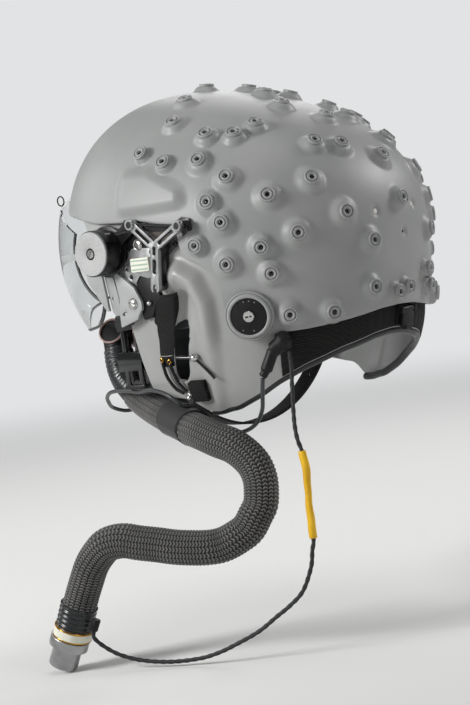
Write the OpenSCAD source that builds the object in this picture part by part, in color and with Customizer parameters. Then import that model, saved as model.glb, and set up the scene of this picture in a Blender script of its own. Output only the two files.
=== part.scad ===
// Flight helmet with a clear visor, an emitter-studded outer shell and a breathing mask.
// Frame: +X is the wearer's left, -Y is ahead of the face, +Z is up.
// The origin is the centre of the outer shell at its widest line.

/* [Outer shell] */
// Half width of the shell at its widest
shell_half_w = 139; // [134:1:145]
// Reach of the shell ahead of its widest line
shell_front = 177; // [172:1:184]
// Reach of the shell behind its widest line
shell_rear = 162; // [156:1:170]
// Height of the crown above the widest line
shell_top = 129; // [124:1:136]
// Wall of the outer shell
shell_wall = 4; // [3:0.5:5]
// How far the brow blister stands out of the shell
brow_raise = 4.5; // [2:0.5:6]

/* [Emitters] */
// Radius of an emitter's round collar
emitter_r = 5.5; // [4.5:0.1:5.6]
// Height of an emitter above the shell
emitter_h = 7; // [5:0.5:9]
// Radius of the window in an emitter
window_r = 2.2; // [1.5:0.1:3]

/* [Inner shell] */
// Space between the two shells
shell_gap = 3; // [2.5:0.25:4]
// Wall of the inner shell
inner_wall = 4; // [3:0.5:5]
// Thickness of the foam liner
liner_t = 12; // [8:1:18]
// Radius of the rubber roll along the lower edge
edge_roll_r = 3.2; // [2.5:0.1:4]

/* [Visor] */
// Space between the visor's face and the front of the shell
visor_clear = 5.7; // [5.5:0.1:11]
// How much narrower the visor's curve is than the shell, on each side
visor_inset = 3; // [0:0.1:3.5]
// Thickness of the visor
visor_t = 2; // [1.5:0.1:2.2]
// Pivot line, distance ahead of the shell's centre
pivot_y = -42; // [-44:0.5:-40]
// Pivot line, height above the shell's widest line
pivot_z = 4; // [2:0.5:6]

/* [Lock knobs] */
// Radius of the black knob drum
knob_r = 19.5; // [17:0.5:21]
// Depth of the knob drum
knob_d = 15; // [12:0.5:18]
// Radius of the spindle that the knob turns on
spindle_r = 6; // [5:0.5:7]

/* [Y latch] */
// Thickness of the latch lever
lever_t = 4; // [3:0.5:5]
// Width of each arm of the lever
lever_w = 8; // [7:0.5:9]
// Radius of the rod that the lever swings on
latch_rod_r = 1.5; // [1.2:0.1:1.8]

/* [Ear disc] */
// Radius of the black quarter-turn disc
disc_r = 16.5; // [14:0.5:18]
// Width of the grey rim round the disc
disc_rim = 4; // [3:0.5:5]

/* [Ear cups] */
// Depth of an ear cup
cup_depth = 22; // [18:1:26]
// Wall of an ear cup
cup_wall = 3; // [2:0.5:4]
// Thickness of the ear seal
seal_t = 13; // [10:1:16]

/* [Mask] */
// Wall of the mask's hard shell
mask_wall = 3; // [2.5:0.5:4]
// Radius of the two rails on each side
rail_r = 3; // [2.5:0.25:3.5]
// Distance between the two rails of one side
rail_pitch = 16; // [14:1:18]

/* [Hose] */
// Outer radius of the bare ribbed hose
hose_r = 13.5; // [12:0.5:14]
// Radius of the bore
hose_bore = 10; // [8:0.5:11]
// Depth of a rib
rib_depth = 1.2; // [0.8:0.1:1.6]
// Outer radius of the knitted sleeve over the hose
sleeve_r = 14.5; // [14:0.5:15]
// Radius of the connector's plain end
connector_r = 12.5; // [11:0.5:13.5]
// Length of the connector's plain end
connector_len = 18; // [14:1:24]

/* [Leads] */
// Radius of the microphone lead
mic_lead_r = 1.75; // [1.4:0.05:1.9]
// Radius of the communications lead
comms_lead_r = 2; // [1.6:0.1:2.2]

/* [Hidden] */
$fn = 48;

// Shape of the shell
skirt_reach = 230;
plan_front_power = 2;
plan_rear_power = 2.2;
side_power = 2.25;
crown_slope = 25;

// Azimuth of each column of the shells, from the front middle to the rear middle
half_columns = [-90, -80, -70, -60, -50, -42, -34, -28, -23, -19, -16, -14, -13, -10, -7, -4,
    0, 4, 7.5, 11, 15, 19, 20.5, 22.5, 25, 27, 28.5, 31, 34, 38, 42, 46, 50, 56, 62, 68,
    75, 82, 90];
last_half = len(half_columns) - 1;
columns = concat(half_columns, [for (k = [1 : last_half - 1]) 180 - half_columns[last_half - k]]);

// Lower edge of the outer shell: azimuth and elevation
outer_edge = [[-90, 20], [-60, 19.5], [-42, 18.5], [-20, 13.7], [-7, 11.5], [-2.5, 12.8],
    [4, 11.4], [19, 7.4], [20.5, -4], [22.5, -6], [25, -8.5], [27, -11], [28.5, -16],
    [31, -24], [34, -27.5], [38, -29.3], [42, -28.8], [46, -27.5], [56, -26], [68, -25.3],
    [82, -24], [90, -24]];
// Lower edge of the inner shell: azimuth and elevation
inner_edge = [[-90, 24], [-60, 20], [-42, 15], [-34, 8], [-28, -2], [-23, -10], [-19, -15],
    [-16, -19], [-14, -26], [-13, -45], [-10, -46], [-4, -47], [0, -47.6], [4, -47.8],
    [7.5, -48.6], [11, -50], [15, -51.5], [28.5, -49.5],
    [38, -46], [46, -42], [56, -38], [68, -34.5], [82, -32], [90, -31.5]];

function clamp01(t) = min(1, max(0, t));
function ease(t) = let (u = clamp01(t)) u * u * (3 - 2 * u);
function fold(az) = az > 90 ? 180 - az : az;
function unit_dir(az, el) = [cos(el) * cos(az), cos(el) * sin(az), sin(el)];

// Radius of the plain outer surface in one direction
function shell_r(az, el) =
    let (d = unit_dir(az, el),
        reach = d[1] < 0 ? shell_front : shell_rear,
        high = d[2] > 0 ? shell_top - crown_slope * d[1] : skirt_reach,
        n = plan_front_power + (plan_rear_power - plan_front_power) * ease((d[1] + 1) / 2),
        flat = pow(pow(abs(d[0]) / shell_half_w, n) + pow(abs(d[1]) / reach, n), 1 / n))
    pow(pow(flat, side_power) + pow(abs(d[2]) / high, side_power), -1 / side_power);

// The moulded blister on each side of the brow
function blister_top(a) = 30 - 0.8 * max(0, a - 4);
function brow_blister(az, el) =
    let (a = fold(az))
    brow_raise * ease((a + 14) / 4) * ease((20 - a) / 4) * ease((el - 13) / 4)
        * ease((blister_top(a) - el) / 4);

function outer_r(az, el) = shell_r(az, el) + brow_blister(az, el);
inner_drop = shell_wall + shell_gap;
// The tube-shaped ridge that arches over each ear, and the hollow that it goes round
ridge_points = [[5, -15], [13, -11], [21, -13], [26, -21], [27, -32], [26, -48]];
function segment_gap(p, a, b) =
    let (ab = b - a, t = clamp01(((p - a) * ab) / (ab * ab)))
    norm(p - a - t * ab);
function ridge_gap(p) =
    min([for (k = [0 : len(ridge_points) - 2]) segment_gap(p, ridge_points[k], ridge_points[k + 1])]);
ridge_raise = 2.5;
function ear_ridge(az, el) =
    ridge_raise * (1 - ease(ridge_gap([fold(az), el]) / 8)) * ease((fold(az) - 6) / 7);
function inner_r(az, el) = shell_r(az, el) - inner_drop + (el < 0 ? ear_ridge(az, el) : 0);
function inside_r(az, el) = shell_r(az, el) - inner_drop - inner_wall;
function at(az, el, r) = r * unit_dir(az, el);

// A closed shell made of rows of points that run from the crown to an edge
// and holes, each given as first row, last row, first column, last column
function rows_of(outer, edge, fractions, drop) = [for (t = fractions) [for (az = columns)
    let (el = 90 - t * (90 - lookup(fold(az), edge)))
    at(az, el, outer == 0 ? outer_r(az, el) : outer == 1 ? shell_r(az, el) - drop : inner_r(az, el))]];
function in_hole(i, j, holes) =
    len([for (h = holes) if (i >= h[0] && i < h[1] && j >= h[2] && j < h[3]) 1]) > 0;
function halves(q) = [[q[0], q[1], q[2]], [q[0], q[2], q[3]]];
module crowned_shell(outer_rows, inner_rows, outer_top, inner_top, holes = []) {
    n = len(columns);
    m = len(outer_rows);
    k = len(inner_rows);
    inner_start = 1 + m * n;
    points = concat([outer_top], [for (row = outer_rows) each row],
        [inner_top], [for (row = inner_rows) each row]);
    function o(i, j) = 1 + i * n + j % n;
    function q(i, j) = inner_start + 1 + i * n + j % n;
    faces = concat(
        [for (j = [0 : n - 1]) [0, o(0, j + 1), o(0, j)]],
        [for (j = [0 : n - 1]) [inner_start, q(0, j), q(0, j + 1)]],
        [for (i = [0 : m - 2]) for (j = [0 : n - 1]) if (!in_hole(i, j, holes))
            each halves([o(i, j), o(i, j + 1), o(i + 1, j + 1), o(i + 1, j)])],
        [for (i = [0 : k - 2]) for (j = [0 : n - 1]) if (!in_hole(i, j, holes))
            each halves([q(i, j), q(i + 1, j), q(i + 1, j + 1), q(i, j + 1)])],
        [for (j = [0 : n - 1]) each halves([o(m - 1, j), o(m - 1, j + 1), q(k - 1, j + 1), q(k - 1, j)])],
        [for (h = holes) for (j = [h[2] : h[3] - 1]) each concat(
            halves([o(h[0], j), o(h[0], j + 1), q(h[0], j + 1), q(h[0], j)]),
            halves([o(h[1], j + 1), o(h[1], j), q(h[1], j), q(h[1], j + 1)]))],
        [for (h = holes) for (i = [h[0] : h[1] - 1]) each concat(
            halves([o(i + 1, h[2]), o(i, h[2]), q(i, h[2]), q(i + 1, h[2])]),
            halves([o(i, h[3]), o(i + 1, h[3]), q(i + 1, h[3]), q(i, h[3])]))]);
    polyhedron(points, faces, convexity = 6);
}

// A closed block between two grids of the same size
function grid_faces(m, n) =
    let (s = m * n, o = function (i, j) i * n + j, q = function (i, j) s + i * n + j)
    concat(
        [for (i = [0 : m - 2]) for (j = [0 : n - 2])
            each halves([o(i, j), o(i, j + 1), o(i + 1, j + 1), o(i + 1, j)])],
        [for (i = [0 : m - 2]) for (j = [0 : n - 2])
            each halves([q(i, j), q(i + 1, j), q(i + 1, j + 1), q(i, j + 1)])],
        [for (j = [0 : n - 2]) each concat(
            halves([o(m - 1, j), o(m - 1, j + 1), q(m - 1, j + 1), q(m - 1, j)]),
            halves([o(0, j + 1), o(0, j), q(0, j), q(0, j + 1)]))],
        [for (i = [0 : m - 2]) each concat(
            halves([o(i, 0), o(i + 1, 0), q(i + 1, 0), q(i, 0)]),
            halves([o(i + 1, n - 1), o(i, n - 1), q(i, n - 1), q(i + 1, n - 1)]))]);
module block_between(outer, inner) {
    polyhedron(concat([for (row = outer) each row], [for (row = inner) each row]),
        grid_faces(len(outer), len(outer[0])), convexity = 6);
}

// A smooth path through hand-placed points
function through(a, b, c, d, t) =
    0.5 * ((2 * b) + (c - a) * t + (2 * a - 5 * b + 4 * c - d) * t * t
        + (3 * b - a - 3 * c + d) * t * t * t);
function smooth_path(p, steps) =
    let (n = len(p))
    concat([for (k = [0 : n - 2]) for (s = [0 : steps - 1])
        through(p[max(k - 1, 0)], p[k], p[k + 1], p[min(k + 2, n - 1)], s / steps)], [p[n - 1]]);
function tangent(p, k) =
    let (v = p[min(k + 1, len(p) - 1)] - p[max(k - 1, 0)])
    v / norm(v);
function ring_at(p, k, r, sides, side_way) =
    let (t = tangent(p, k), c = cross(t, side_way), u = c / norm(c), v = cross(u, t))
    [for (a = [0 : sides - 1])
        p[k] + r * (cos(360 * a / sides) * u + sin(360 * a / sides) * v)];
// A tube swept along a path, with its radius given ring by ring and a bore if bore > 0
module swept_tube(path, radii, bore, sides, side_way) {
    n = len(path);
    outer = [for (k = [0 : n - 1]) each ring_at(path, k, radii[k], sides, side_way)];
    inner = bore > 0 ? [for (k = [0 : n - 1]) each ring_at(path, k, bore, sides, side_way)] : [];
    s = n * sides;
    function o(k, a) = k * sides + a % sides;
    function q(k, a) = s + k * sides + a % sides;
    sides_out = [for (k = [0 : n - 2]) for (a = [0 : sides - 1])
        each halves([o(k, a), o(k, a + 1), o(k + 1, a + 1), o(k + 1, a)])];
    sides_in = bore > 0 ? [for (k = [0 : n - 2]) for (a = [0 : sides - 1])
        each halves([q(k, a), q(k + 1, a), q(k + 1, a + 1), q(k, a + 1)])] : [];
    ends = bore > 0
        ? [for (a = [0 : sides - 1]) each concat(
            halves([o(0, a + 1), o(0, a), q(0, a), q(0, a + 1)]),
            halves([o(n - 1, a), o(n - 1, a + 1), q(n - 1, a + 1), q(n - 1, a)]))]
        : [[for (a = [0 : sides - 1]) o(0, sides - 1 - a)], [for (a = [0 : sides - 1]) o(n - 1, a)]];
    polyhedron(concat(outer, inner), concat(sides_out, sides_in, ends), convexity = 8);
}
module plain_tube(path, r, sides, side_way) {
    swept_tube(path, [for (p = path) r], 0, sides, side_way);
}

// Turns +Z to a direction
module aim(way) {
    rotate([0, acos(way[2] / norm(way)), atan2(way[1], way[0])]) children();
}
module rod_between(a, b, r) {
    translate(a) aim(b - a) cylinder(r = r, h = norm(b - a));
}
module both_sides() {
    children();
    mirror([1, 0, 0]) children();
}
// A flat piece: an outline in Y and Z, given its thickness along X
module side_sheet(x, t) {
    translate([x, 0, 0]) rotate([90, 0, 90]) linear_extrude(t) children();
}
module bar2d(a, b, w) {
    translate(a) rotate(atan2(b[1] - a[1], b[0] - a[0]))
        translate([0, -w / 2]) square([norm(b - a), w]);
    translate(a) circle(d = w + 0.4);
    translate(b) circle(d = w + 0.4);
}
module pill2d(length, width) {
    square([length - width, width], center = true);
    translate([(length - width) / 2, 0]) circle(d = width);
    translate([-(length - width) / 2, 0]) circle(d = width);
}

// Outward direction of the plain shell at one place
function shell_normal(az, el) =
    let (s = 0.5,
        u = at(az + s, el, shell_r(az + s, el)) - at(az - s, el, shell_r(az - s, el)),
        v = at(az, el + s, shell_r(az, el + s)) - at(az, el - s, shell_r(az, el - s)),
        n = cross(u, v))
    n / norm(n);
module on_shell(az, el, drop = 0) {
    translate(at(az, el, shell_r(az, el)) - drop * shell_normal(az, el))
        aim(shell_normal(az, el)) children();
}

// Rows of the two shells, from the crown down to the edge
outer_fractions = [0.07, 0.16, 0.26, 0.36, 0.45, 0.53, 0.6, 0.67, 0.74, 0.81, 0.88, 0.94, 1];
outer_inside_fractions = [0.1, 0.25, 0.4, 0.55, 0.7, 0.85, 1];
inner_fractions = concat([for (k = [1 : 5]) 0.126 * k], [for (k = [1 : 12]) 0.63 + 0.37 * k / 12]);
// The strap slot in the inner shell, in rows and columns
slot_rows = [10, 14];
slot_columns = [17, 19];
n_columns = len(columns);
strap_slots = [[slot_rows[0], slot_rows[1], slot_columns[0], slot_columns[1]],
    [slot_rows[0], slot_rows[1], 2 * last_half - slot_columns[1], 2 * last_half - slot_columns[0]]];

module outer_shell() {
    color("lightgray") crowned_shell(
        rows_of(0, outer_edge, outer_fractions, 0),
        rows_of(1, outer_edge, outer_inside_fractions, shell_wall),
        at(0, 90, outer_r(0, 90)), at(0, 90, shell_r(0, 90) - shell_wall));
}

module inner_shell() {
    color("gainsboro") crowned_shell(
        rows_of(2, inner_edge, inner_fractions, 0),
        rows_of(1, inner_edge, inner_fractions, inner_drop + inner_wall),
        at(0, 90, inner_r(0, 90)), at(0, 90, inside_r(0, 90)), strap_slots);
}

// Emitters that both sides have: azimuth, elevation, radius of the moulded mound
side_emitters = [[-1, 34.4, 5.7], [1, 64, 10], [12, 29.6, 6.9], [9, 48, 10], [27, 28, 10.5], [29, 39, 9.5],
    [41, 37, 9], [51, 41, 9], [37, 20, 11], [30, 13, 9], [34, 6, 10], [24.5, 0, 7], [34, -7, 10.5],
    [49, 12, 11], [45, -3, 9.5], [47, -11, 9.5], [56, 0, 11], [63, 15, 11], [51, -23, 9],
    [64, -23.3, 9]];
// Emitters of the crown and the rear, which the two sides share unevenly
rear_emitters = [[70, 28, 9.5], [71, 4, 11], [77, 56, 11], [80, 26, 11], [78, -18, 8.5],
    [79, -5, 10], [88, -20.5, 5.6], [93, -19.5, 5.6], [91, 42, 11], [95, 20, 11], [94, 6, 8],
    [100, 74, 11], [111, 27, 11], [112, 42, 11], [106, -15.5, 5.7], [107.5, -20.5, 5.7],
    [111, -4, 10], [120, 6, 8.5], [-89, 79, 10], [173, 80, 12], [122, 28, 10], [138, 66, 10],
    [128, 51, 9]];
emitters = concat(side_emitters, [for (e = side_emitters) [180 - e[0], e[1], e[2]]], rear_emitters);
seat_gap = 0.15;
mound_h = emitter_h - 2;
window_seat = mound_h - 1;
lens_play = 0.05;
module emitter_housing(r) {
    flare = max(0, r - emitter_r);
    difference() {
        rotate_extrude() polygon([[0, seat_gap], [r, seat_gap], [r, seat_gap + 0.4],
            [emitter_r + 0.62 * flare, 1.1], [emitter_r + 0.3 * flare, 0.5 * mound_h],
            [emitter_r + 0.05 * flare, mound_h], [emitter_r, emitter_h - 0.5],
            [emitter_r - 0.6, emitter_h], [0, emitter_h]]);
        translate([0, 0, window_seat]) cylinder(r = window_r, h = emitter_h);
    }
}
module emitter_housings() {
    color("lightgray") for (e = emitters) on_shell(e[0], e[1]) emitter_housing(e[2]);
}
module emitter_lenses() {
    color("black") for (e = emitters) on_shell(e[0], e[1]) translate([0, 0, window_seat])
        cylinder(r = window_r - lens_play, h = emitter_h - window_seat - 0.6);
}

// Foam pads that carry the outer shell on the inner one: azimuth, elevation
pad_places = [[-50, 32], [-15, 45], [38, 48], [60, 8], [82, -10], [34, -3]];
pad_r = 6;
pad_t = 0.7;
module shell_pads() {
    color("black") both_sides() for (p = pad_places)
        on_shell(p[0], p[1], shell_wall + shell_gap - 0.3) cylinder(r = pad_r, h = pad_t);
}

// Rubber roll along the lower edge, from one cheek round the neck to the other
roll_first = 20;
function roll_point(az) =
    let (el = lookup(fold(az), inner_edge), r = (inner_r(az, el) + inside_r(az, el)) / 2)
    at(az, el, r) + (edge_roll_r + 0.6) * [sin(el) * cos(az), sin(el) * sin(az), -cos(el)];
module edge_roll() {
    path = [for (k = [roll_first : 2 * last_half - roll_first]) roll_point(columns[k])];
    color("black") plain_tube(path, edge_roll_r, 8, [0, 0, 1]);
}

// Foam liner over the crown
liner_clear = 2.5;
cushion_clear = 1;
liner_columns = [for (k = [0 : 2 : 2 * last_half - 1]) columns[k]];
liner_edge = [[-90, 36], [-60, 35], [-42, 28], [-19, 10], [90, 6]];
liner_fractions = [0.12, 0.3, 0.48, 0.66, 0.84, 1];
function liner_rows(drop) = [for (t = liner_fractions) [for (az = liner_columns)
    let (el = 90 - t * (90 - lookup(fold(az), liner_edge))) at(az, el, inside_r(az, el) - drop)]];
module liner() {
    outer_rows = liner_rows(liner_clear);
    inner_rows = liner_rows(liner_clear + liner_t);
    n = len(liner_columns);
    m = len(liner_fractions);
    s = 1 + m * n;
    function o(i, j) = 1 + i * n + j % n;
    function q(i, j) = s + 1 + i * n + j % n;
    faces = concat(
        [for (j = [0 : n - 1]) [0, o(0, j + 1), o(0, j)]],
        [for (j = [0 : n - 1]) [s, q(0, j), q(0, j + 1)]],
        [for (i = [0 : m - 2]) for (j = [0 : n - 1]) each concat(
            halves([o(i, j), o(i, j + 1), o(i + 1, j + 1), o(i + 1, j)]),
            halves([q(i, j), q(i + 1, j), q(i + 1, j + 1), q(i, j + 1)]))],
        [for (j = [0 : n - 1])
            each halves([o(m - 1, j), o(m - 1, j + 1), q(m - 1, j + 1), q(m - 1, j)])]);
    color("dimgray") polyhedron(concat([at(0, 90, inside_r(0, 90) - liner_clear)],
        [for (row = outer_rows) each row], [at(0, 90, inside_r(0, 90) - liner_clear - liner_t)],
        [for (row = inner_rows) each row]), faces, convexity = 6);
}
// A crowned cushion on the inside of the shell
module cushion(az0, az1, el0, el1, thick, n, m) {
    function crown(u, v) = 0.3 + 0.7 * pow(sin(180 * u) * sin(180 * v), 0.4);
    function place(i, j) =
        let (u = j / n, v = i / m, mid = 1 - 0.08 * pow(2 * v - 1, 2))
        [(az0 + az1) / 2 + (az1 - az0) * (u - 0.5) * mid, el1 + (el0 - el1) * v];
    outer = [for (i = [0 : m]) [for (j = [0 : n])
        let (p = place(i, j)) at(p[0], p[1], inside_r(p[0], p[1]) - cushion_clear)]];
    inner = [for (i = [0 : m]) [for (j = [0 : n])
        let (p = place(i, j)) at(p[0], p[1],
            inside_r(p[0], p[1]) - cushion_clear - thick * crown(j / n, i / m))]];
    block_between(outer, inner);
}
brow_pad_t = 11;
nape_pad_t = 13;
module brow_pad() {
    color("dimgray") cushion(-118, -62, 25, 33.5, brow_pad_t, 12, 4);
}
module nape_pad() {
    color("dimgray") cushion(60, 120, -26, 3, nape_pad_t, 14, 6);
}

// Ear cups, seals and earphones
cup_y = 14;
cup_z = -28;
cup_inset = 22;
cup_outer_x = shell_half_w - cup_inset;
cup_w = 60;
cup_h = 80;
cup_inner_x = cup_outer_x - cup_depth;
seal_grow = 4;
seal_hole_w = 38;
seal_hole_h = 58;
cup_foot_r = 8;
cup_foot_x = cup_outer_x + 8.9;
phone_r = 19;
phone_t = 7;
module cup2d(w, h) {
    rotate(90) pill2d(h, w);
}
module at_ear(x, t) {
    side_sheet(x, t) translate([cup_y, cup_z]) children();
}
module ear_cup() {
    difference() {
        union() {
            at_ear(cup_inner_x, cup_depth) cup2d(cup_w, cup_h);
            translate([cup_outer_x - 1, cup_y, cup_z]) rotate([0, 90, 0])
                cylinder(r = cup_foot_r, h = cup_foot_x - cup_outer_x + 1);
        }
        at_ear(cup_inner_x - 1, cup_depth - cup_wall + 1)
            cup2d(cup_w - 2 * cup_wall, cup_h - 2 * cup_wall);
    }
}
module ear_cups() {
    color("darkslategray") both_sides() ear_cup();
}
module ear_seals() {
    color("black") both_sides() difference() {
        at_ear(cup_inner_x - seal_t - 0.1, seal_t) cup2d(cup_w + seal_grow, cup_h + seal_grow);
        at_ear(cup_inner_x - seal_t - 1, seal_t + 2) cup2d(seal_hole_w, seal_hole_h);
    }
}
module earphones() {
    color("gray") both_sides() translate([cup_outer_x - cup_wall - phone_t - 0.1, cup_y, cup_z])
        rotate([0, 90, 0]) cylinder(r = phone_r, h = phone_t);
}

// Chin strap: an arc of webbing between the two cheeks, with a snap at each end
chin_w = 18;
chin_y = -30;
chin_top_z = -93;
chin_inset = 12;
chin_r = shell_half_w - chin_inset;
chin_centre_z = -38;
chin_t = 2;
chin_snap_x = cup_outer_x + 0.1;
chin_snap_len = 6.1;
module chin_strap() {
    color("black") {
        translate([0, chin_y + chin_w, 0]) rotate([90, 0, 0]) linear_extrude(chin_w) difference() {
            translate([0, chin_centre_z]) circle(r = chin_r, $fn = 96);
            translate([0, chin_centre_z]) circle(r = chin_r - chin_t, $fn = 96);
            translate([-200, chin_top_z]) square([400, 400]);
        }
        both_sides() translate([chin_snap_x - chin_snap_len, chin_y + chin_w / 2, chin_top_z - 5])
            rotate([0, 90, 0]) cylinder(r = 4.5, h = chin_snap_len);
    }
}

// Side mechanism: where each flat layer lies along X
plate_inset = 6.7;
plate_x = shell_half_w - plate_inset;
plate_t = 2.5;
layer_gap = 0.1;
bar_x = plate_x + plate_t + layer_gap;
bar_t = 2.8;
receiver_t = 3;
hub_x = plate_x - 0.7;
hub_base_x = hub_x + 2.4;
hub_boss_len = 2.2;
hub_boss_r = 6;
arm_x = hub_base_x + 0.3;
arm_t = 2.5;
knob_x = bar_x + bar_t + 0.3;
knob_end_x = knob_x + knob_d;
face_t = 1.6;
hub_r = 22;
fit_play = 0.05;
arm_seat_r = 8;
arm_ring_r = 17;
lever_x = bar_x + bar_t + 1.7;
rod_x = lever_x + lever_t / 2;
latch_front = [-2, 24];
latch_rear = [52, 18];
latch_mid = [22, 3];
latch_low = [17, -30];
rod_span = latch_rear - latch_front;
rod_angle = atan2(rod_span[1], rod_span[0]);
rod_unit = rod_span / norm(rod_span);
eye_len = 6;
eye_r = 3.2;
lug_t = 3;
lug_w = 8;
lug_gap = 0.3;
catch_pin_r = 1.6;
pivot = [pivot_y, pivot_z];
function on_rod(s) = latch_front + s * rod_unit;
function rod_3d(s) = let (p = on_rod(s)) [rod_x, p[0], p[1]];
rod_len = norm(rod_span);
rod_end = eye_len / 2 + lug_gap + lug_t;
module at_pivot(x) {
    translate([x, pivot_y, pivot_z]) rotate([0, 90, 0]) children();
}
// The black bracket between the knob and the latch, with a lug at each end of the rod
module bracket2d() {
    difference() {
        union() {
            bar2d([pivot_y + 14, pivot_z + 7], [latch_front[0] - 8, latch_front[1] - 2], 12);
            bar2d([latch_front[0] - 8, latch_front[1] - 2.2], [latch_rear[0] + 5, latch_rear[1] - 3], 5);
        }
        translate(pivot) circle(r = arm_ring_r + 0.6);
    }
}
module lug2d(s) {
    translate(on_rod(s)) rotate(rod_angle) square([lug_t, lug_w], center = true);
}
module hub() {
    difference() {
        union() {
            at_pivot(hub_x - hub_boss_len) cylinder(r = hub_boss_r, h = hub_boss_len + 0.1);
            at_pivot(hub_x) cylinder(r = hub_r, h = hub_base_x - hub_x);
            at_pivot(hub_x) cylinder(r = arm_seat_r, h = arm_x + arm_t + 0.15 - hub_x);
            at_pivot(hub_x) cylinder(r = spindle_r, h = knob_end_x - 3 - hub_x);
            side_sheet(bar_x, bar_t) bracket2d();
            side_sheet(hub_x + 1, bar_x + 1 - hub_x - 1) intersection() {
                bracket2d();
                translate(pivot) circle(r = hub_r - 0.5);
            }
            side_sheet(bar_x, rod_x + 3 - bar_x) lug2d(-rod_end + lug_t / 2);
            side_sheet(bar_x, rod_x + 3 - bar_x) lug2d(rod_len + rod_end - lug_t / 2);
        }
        rod_between(rod_3d(-12), rod_3d(rod_len + 12), latch_rod_r + fit_play);
    }
}
module hub_left() { color("black") hub(); }
module hub_right() { mirror([1, 0, 0]) color("black") hub(); }

plate_outline = [[-36, -20], [-14, 12], [-8, 19], [-2, 17], [44, 14], [44, -4], [22, -24], [20, -33],
    [6, -34], [-6, -34], [-24, -20]];
module side_plate() {
    side_sheet(plate_x, plate_t) difference() {
        polygon(plate_outline);
        translate(pivot) circle(r = hub_r + 0.5);
        translate([-14, -18]) circle(r = 3);
        translate([-18, -9]) circle(r = 1.5);
        translate([8, 6]) circle(r = 2);
        translate([30, 6]) circle(r = 2.5);
        translate([-2, -24]) circle(r = 2.5);
    }
    translate([plate_x, latch_low[0], latch_low[1]]) rotate([0, 90, 0])
        cylinder(r = catch_pin_r, h = lever_x + lever_t - 1 - plate_x);
}
module side_plates() { color("silver") both_sides() side_plate(); }

block_y = -4;
block_z = -10;
module clip_blocks() {
    color("ivory") both_sides() difference() {
        translate([bar_x, block_y - 7.5, block_z - 5.75]) cube([5, 15, 11.5]);
        translate([bar_x + 4, block_y - 6.5, block_z - 0.6]) cube([2, 13, 1.2]);
    }
}

receiver_outline = [[-34, -17], [-24, -21], [-10, -32.5], [-5, -50], [-14, -56], [-33, -62], [-33, -38]];
screw_place = [-16, -42];
module mask_receivers() {
    color("silver") both_sides() side_sheet(bar_x, receiver_t) difference() {
        polygon(receiver_outline);
        translate([-28, -48]) rotate(20) pill2d(6, 2.6);
        translate([-28, -26]) circle(r = 1.3);
    }
}
rail_inset = 25;
rail_x = shell_half_w - rail_inset;
rail_block_in = 6;
rail_plate_t = 4.4;
rail_y = -40;
rail_top_z = -60;
rail_end_z = -116;
module mask_rails() {
    color("black") both_sides() difference() {
        union() {
            translate([rail_x - rail_block_in, -61, rail_top_z])
                cube([bar_x - layer_gap - rail_x + rail_block_in, 24, 10]);
            translate([bar_x - layer_gap - rail_plate_t, -61, rail_top_z]) cube([rail_plate_t, 46, 10]);
            for (y = [rail_y, rail_y - rail_pitch])
                translate([rail_x, y, rail_end_z]) cylinder(r = rail_r, h = rail_top_z - rail_end_z + 1);
        }
        translate([rail_x + 4, -55, rail_top_z + 3]) cube([8, 14, 20]);
    }
}
// A round screw head with a slot, on a face that looks along +X
module screw_head(x, p, r, h, turn) {
    translate([x, p[0], p[1]]) rotate([0, 90, 0]) difference() {
        cylinder(r = r, h = h);
        rotate(turn) translate([-r - 1, -0.5, h - 0.7]) cube([2 * r + 2, 1, 2]);
    }
}
module plate_screws() {
    color("gray") both_sides() {
        screw_head(bar_x, [-6, 6.5], 4.2, 1.4, 20);
        screw_head(bar_x + receiver_t + layer_gap, screw_place, 5, 1.6, 70);
        screw_head(bar_x, [38, 4], 2.6, 1.2, 45);
    }
}

module latch_rod() {
    rod_between(rod_3d(-rod_end), rod_3d(rod_len + rod_end), latch_rod_r);
}
module latch_rods() { color("silver") both_sides() latch_rod(); }

function toward(a, b, s) = a + s * (b - a) / norm(b - a);
slot_w = lever_w - 4.6;
module lever2d() {
    difference() {
        union() {
            bar2d(toward(latch_front, latch_mid, 5), latch_mid, lever_w);
            bar2d(toward(latch_rear, latch_mid, 5), latch_mid, lever_w);
            bar2d(latch_mid, latch_low, lever_w + 1);
        }
        bar2d(toward(latch_front, latch_mid, 9), toward(latch_front, latch_mid, 24), slot_w);
        bar2d(toward(latch_rear, latch_mid, 9), toward(latch_rear, latch_mid, 26), slot_w);
        bar2d(toward(latch_mid, latch_low, 1), toward(latch_mid, latch_low, 5), 3.4);
        bar2d(toward(latch_mid, latch_low, 12), toward(latch_mid, latch_low, 20), 4.2);
        bar2d(latch_low, toward(latch_mid, latch_low, 45), 2 * catch_pin_r + 0.8);
    }
}
module latch_lever() {
    difference() {
        union() {
            side_sheet(lever_x, lever_t) lever2d();
            rod_between(rod_3d(-eye_len / 2), rod_3d(eye_len / 2), eye_r);
            rod_between(rod_3d(rod_len - eye_len / 2), rod_3d(rod_len + eye_len / 2), eye_r);
        }
        rod_between(rod_3d(-eye_len), rod_3d(2 * eye_len), latch_rod_r + fit_play);
        rod_between(rod_3d(rod_len - 2 * eye_len), rod_3d(rod_len + eye_len), latch_rod_r + fit_play);
    }
}
module latch_lever_left() { color("silver") latch_lever(); }
module latch_lever_right() { mirror([1, 0, 0]) color("silver") latch_lever(); }

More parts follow.
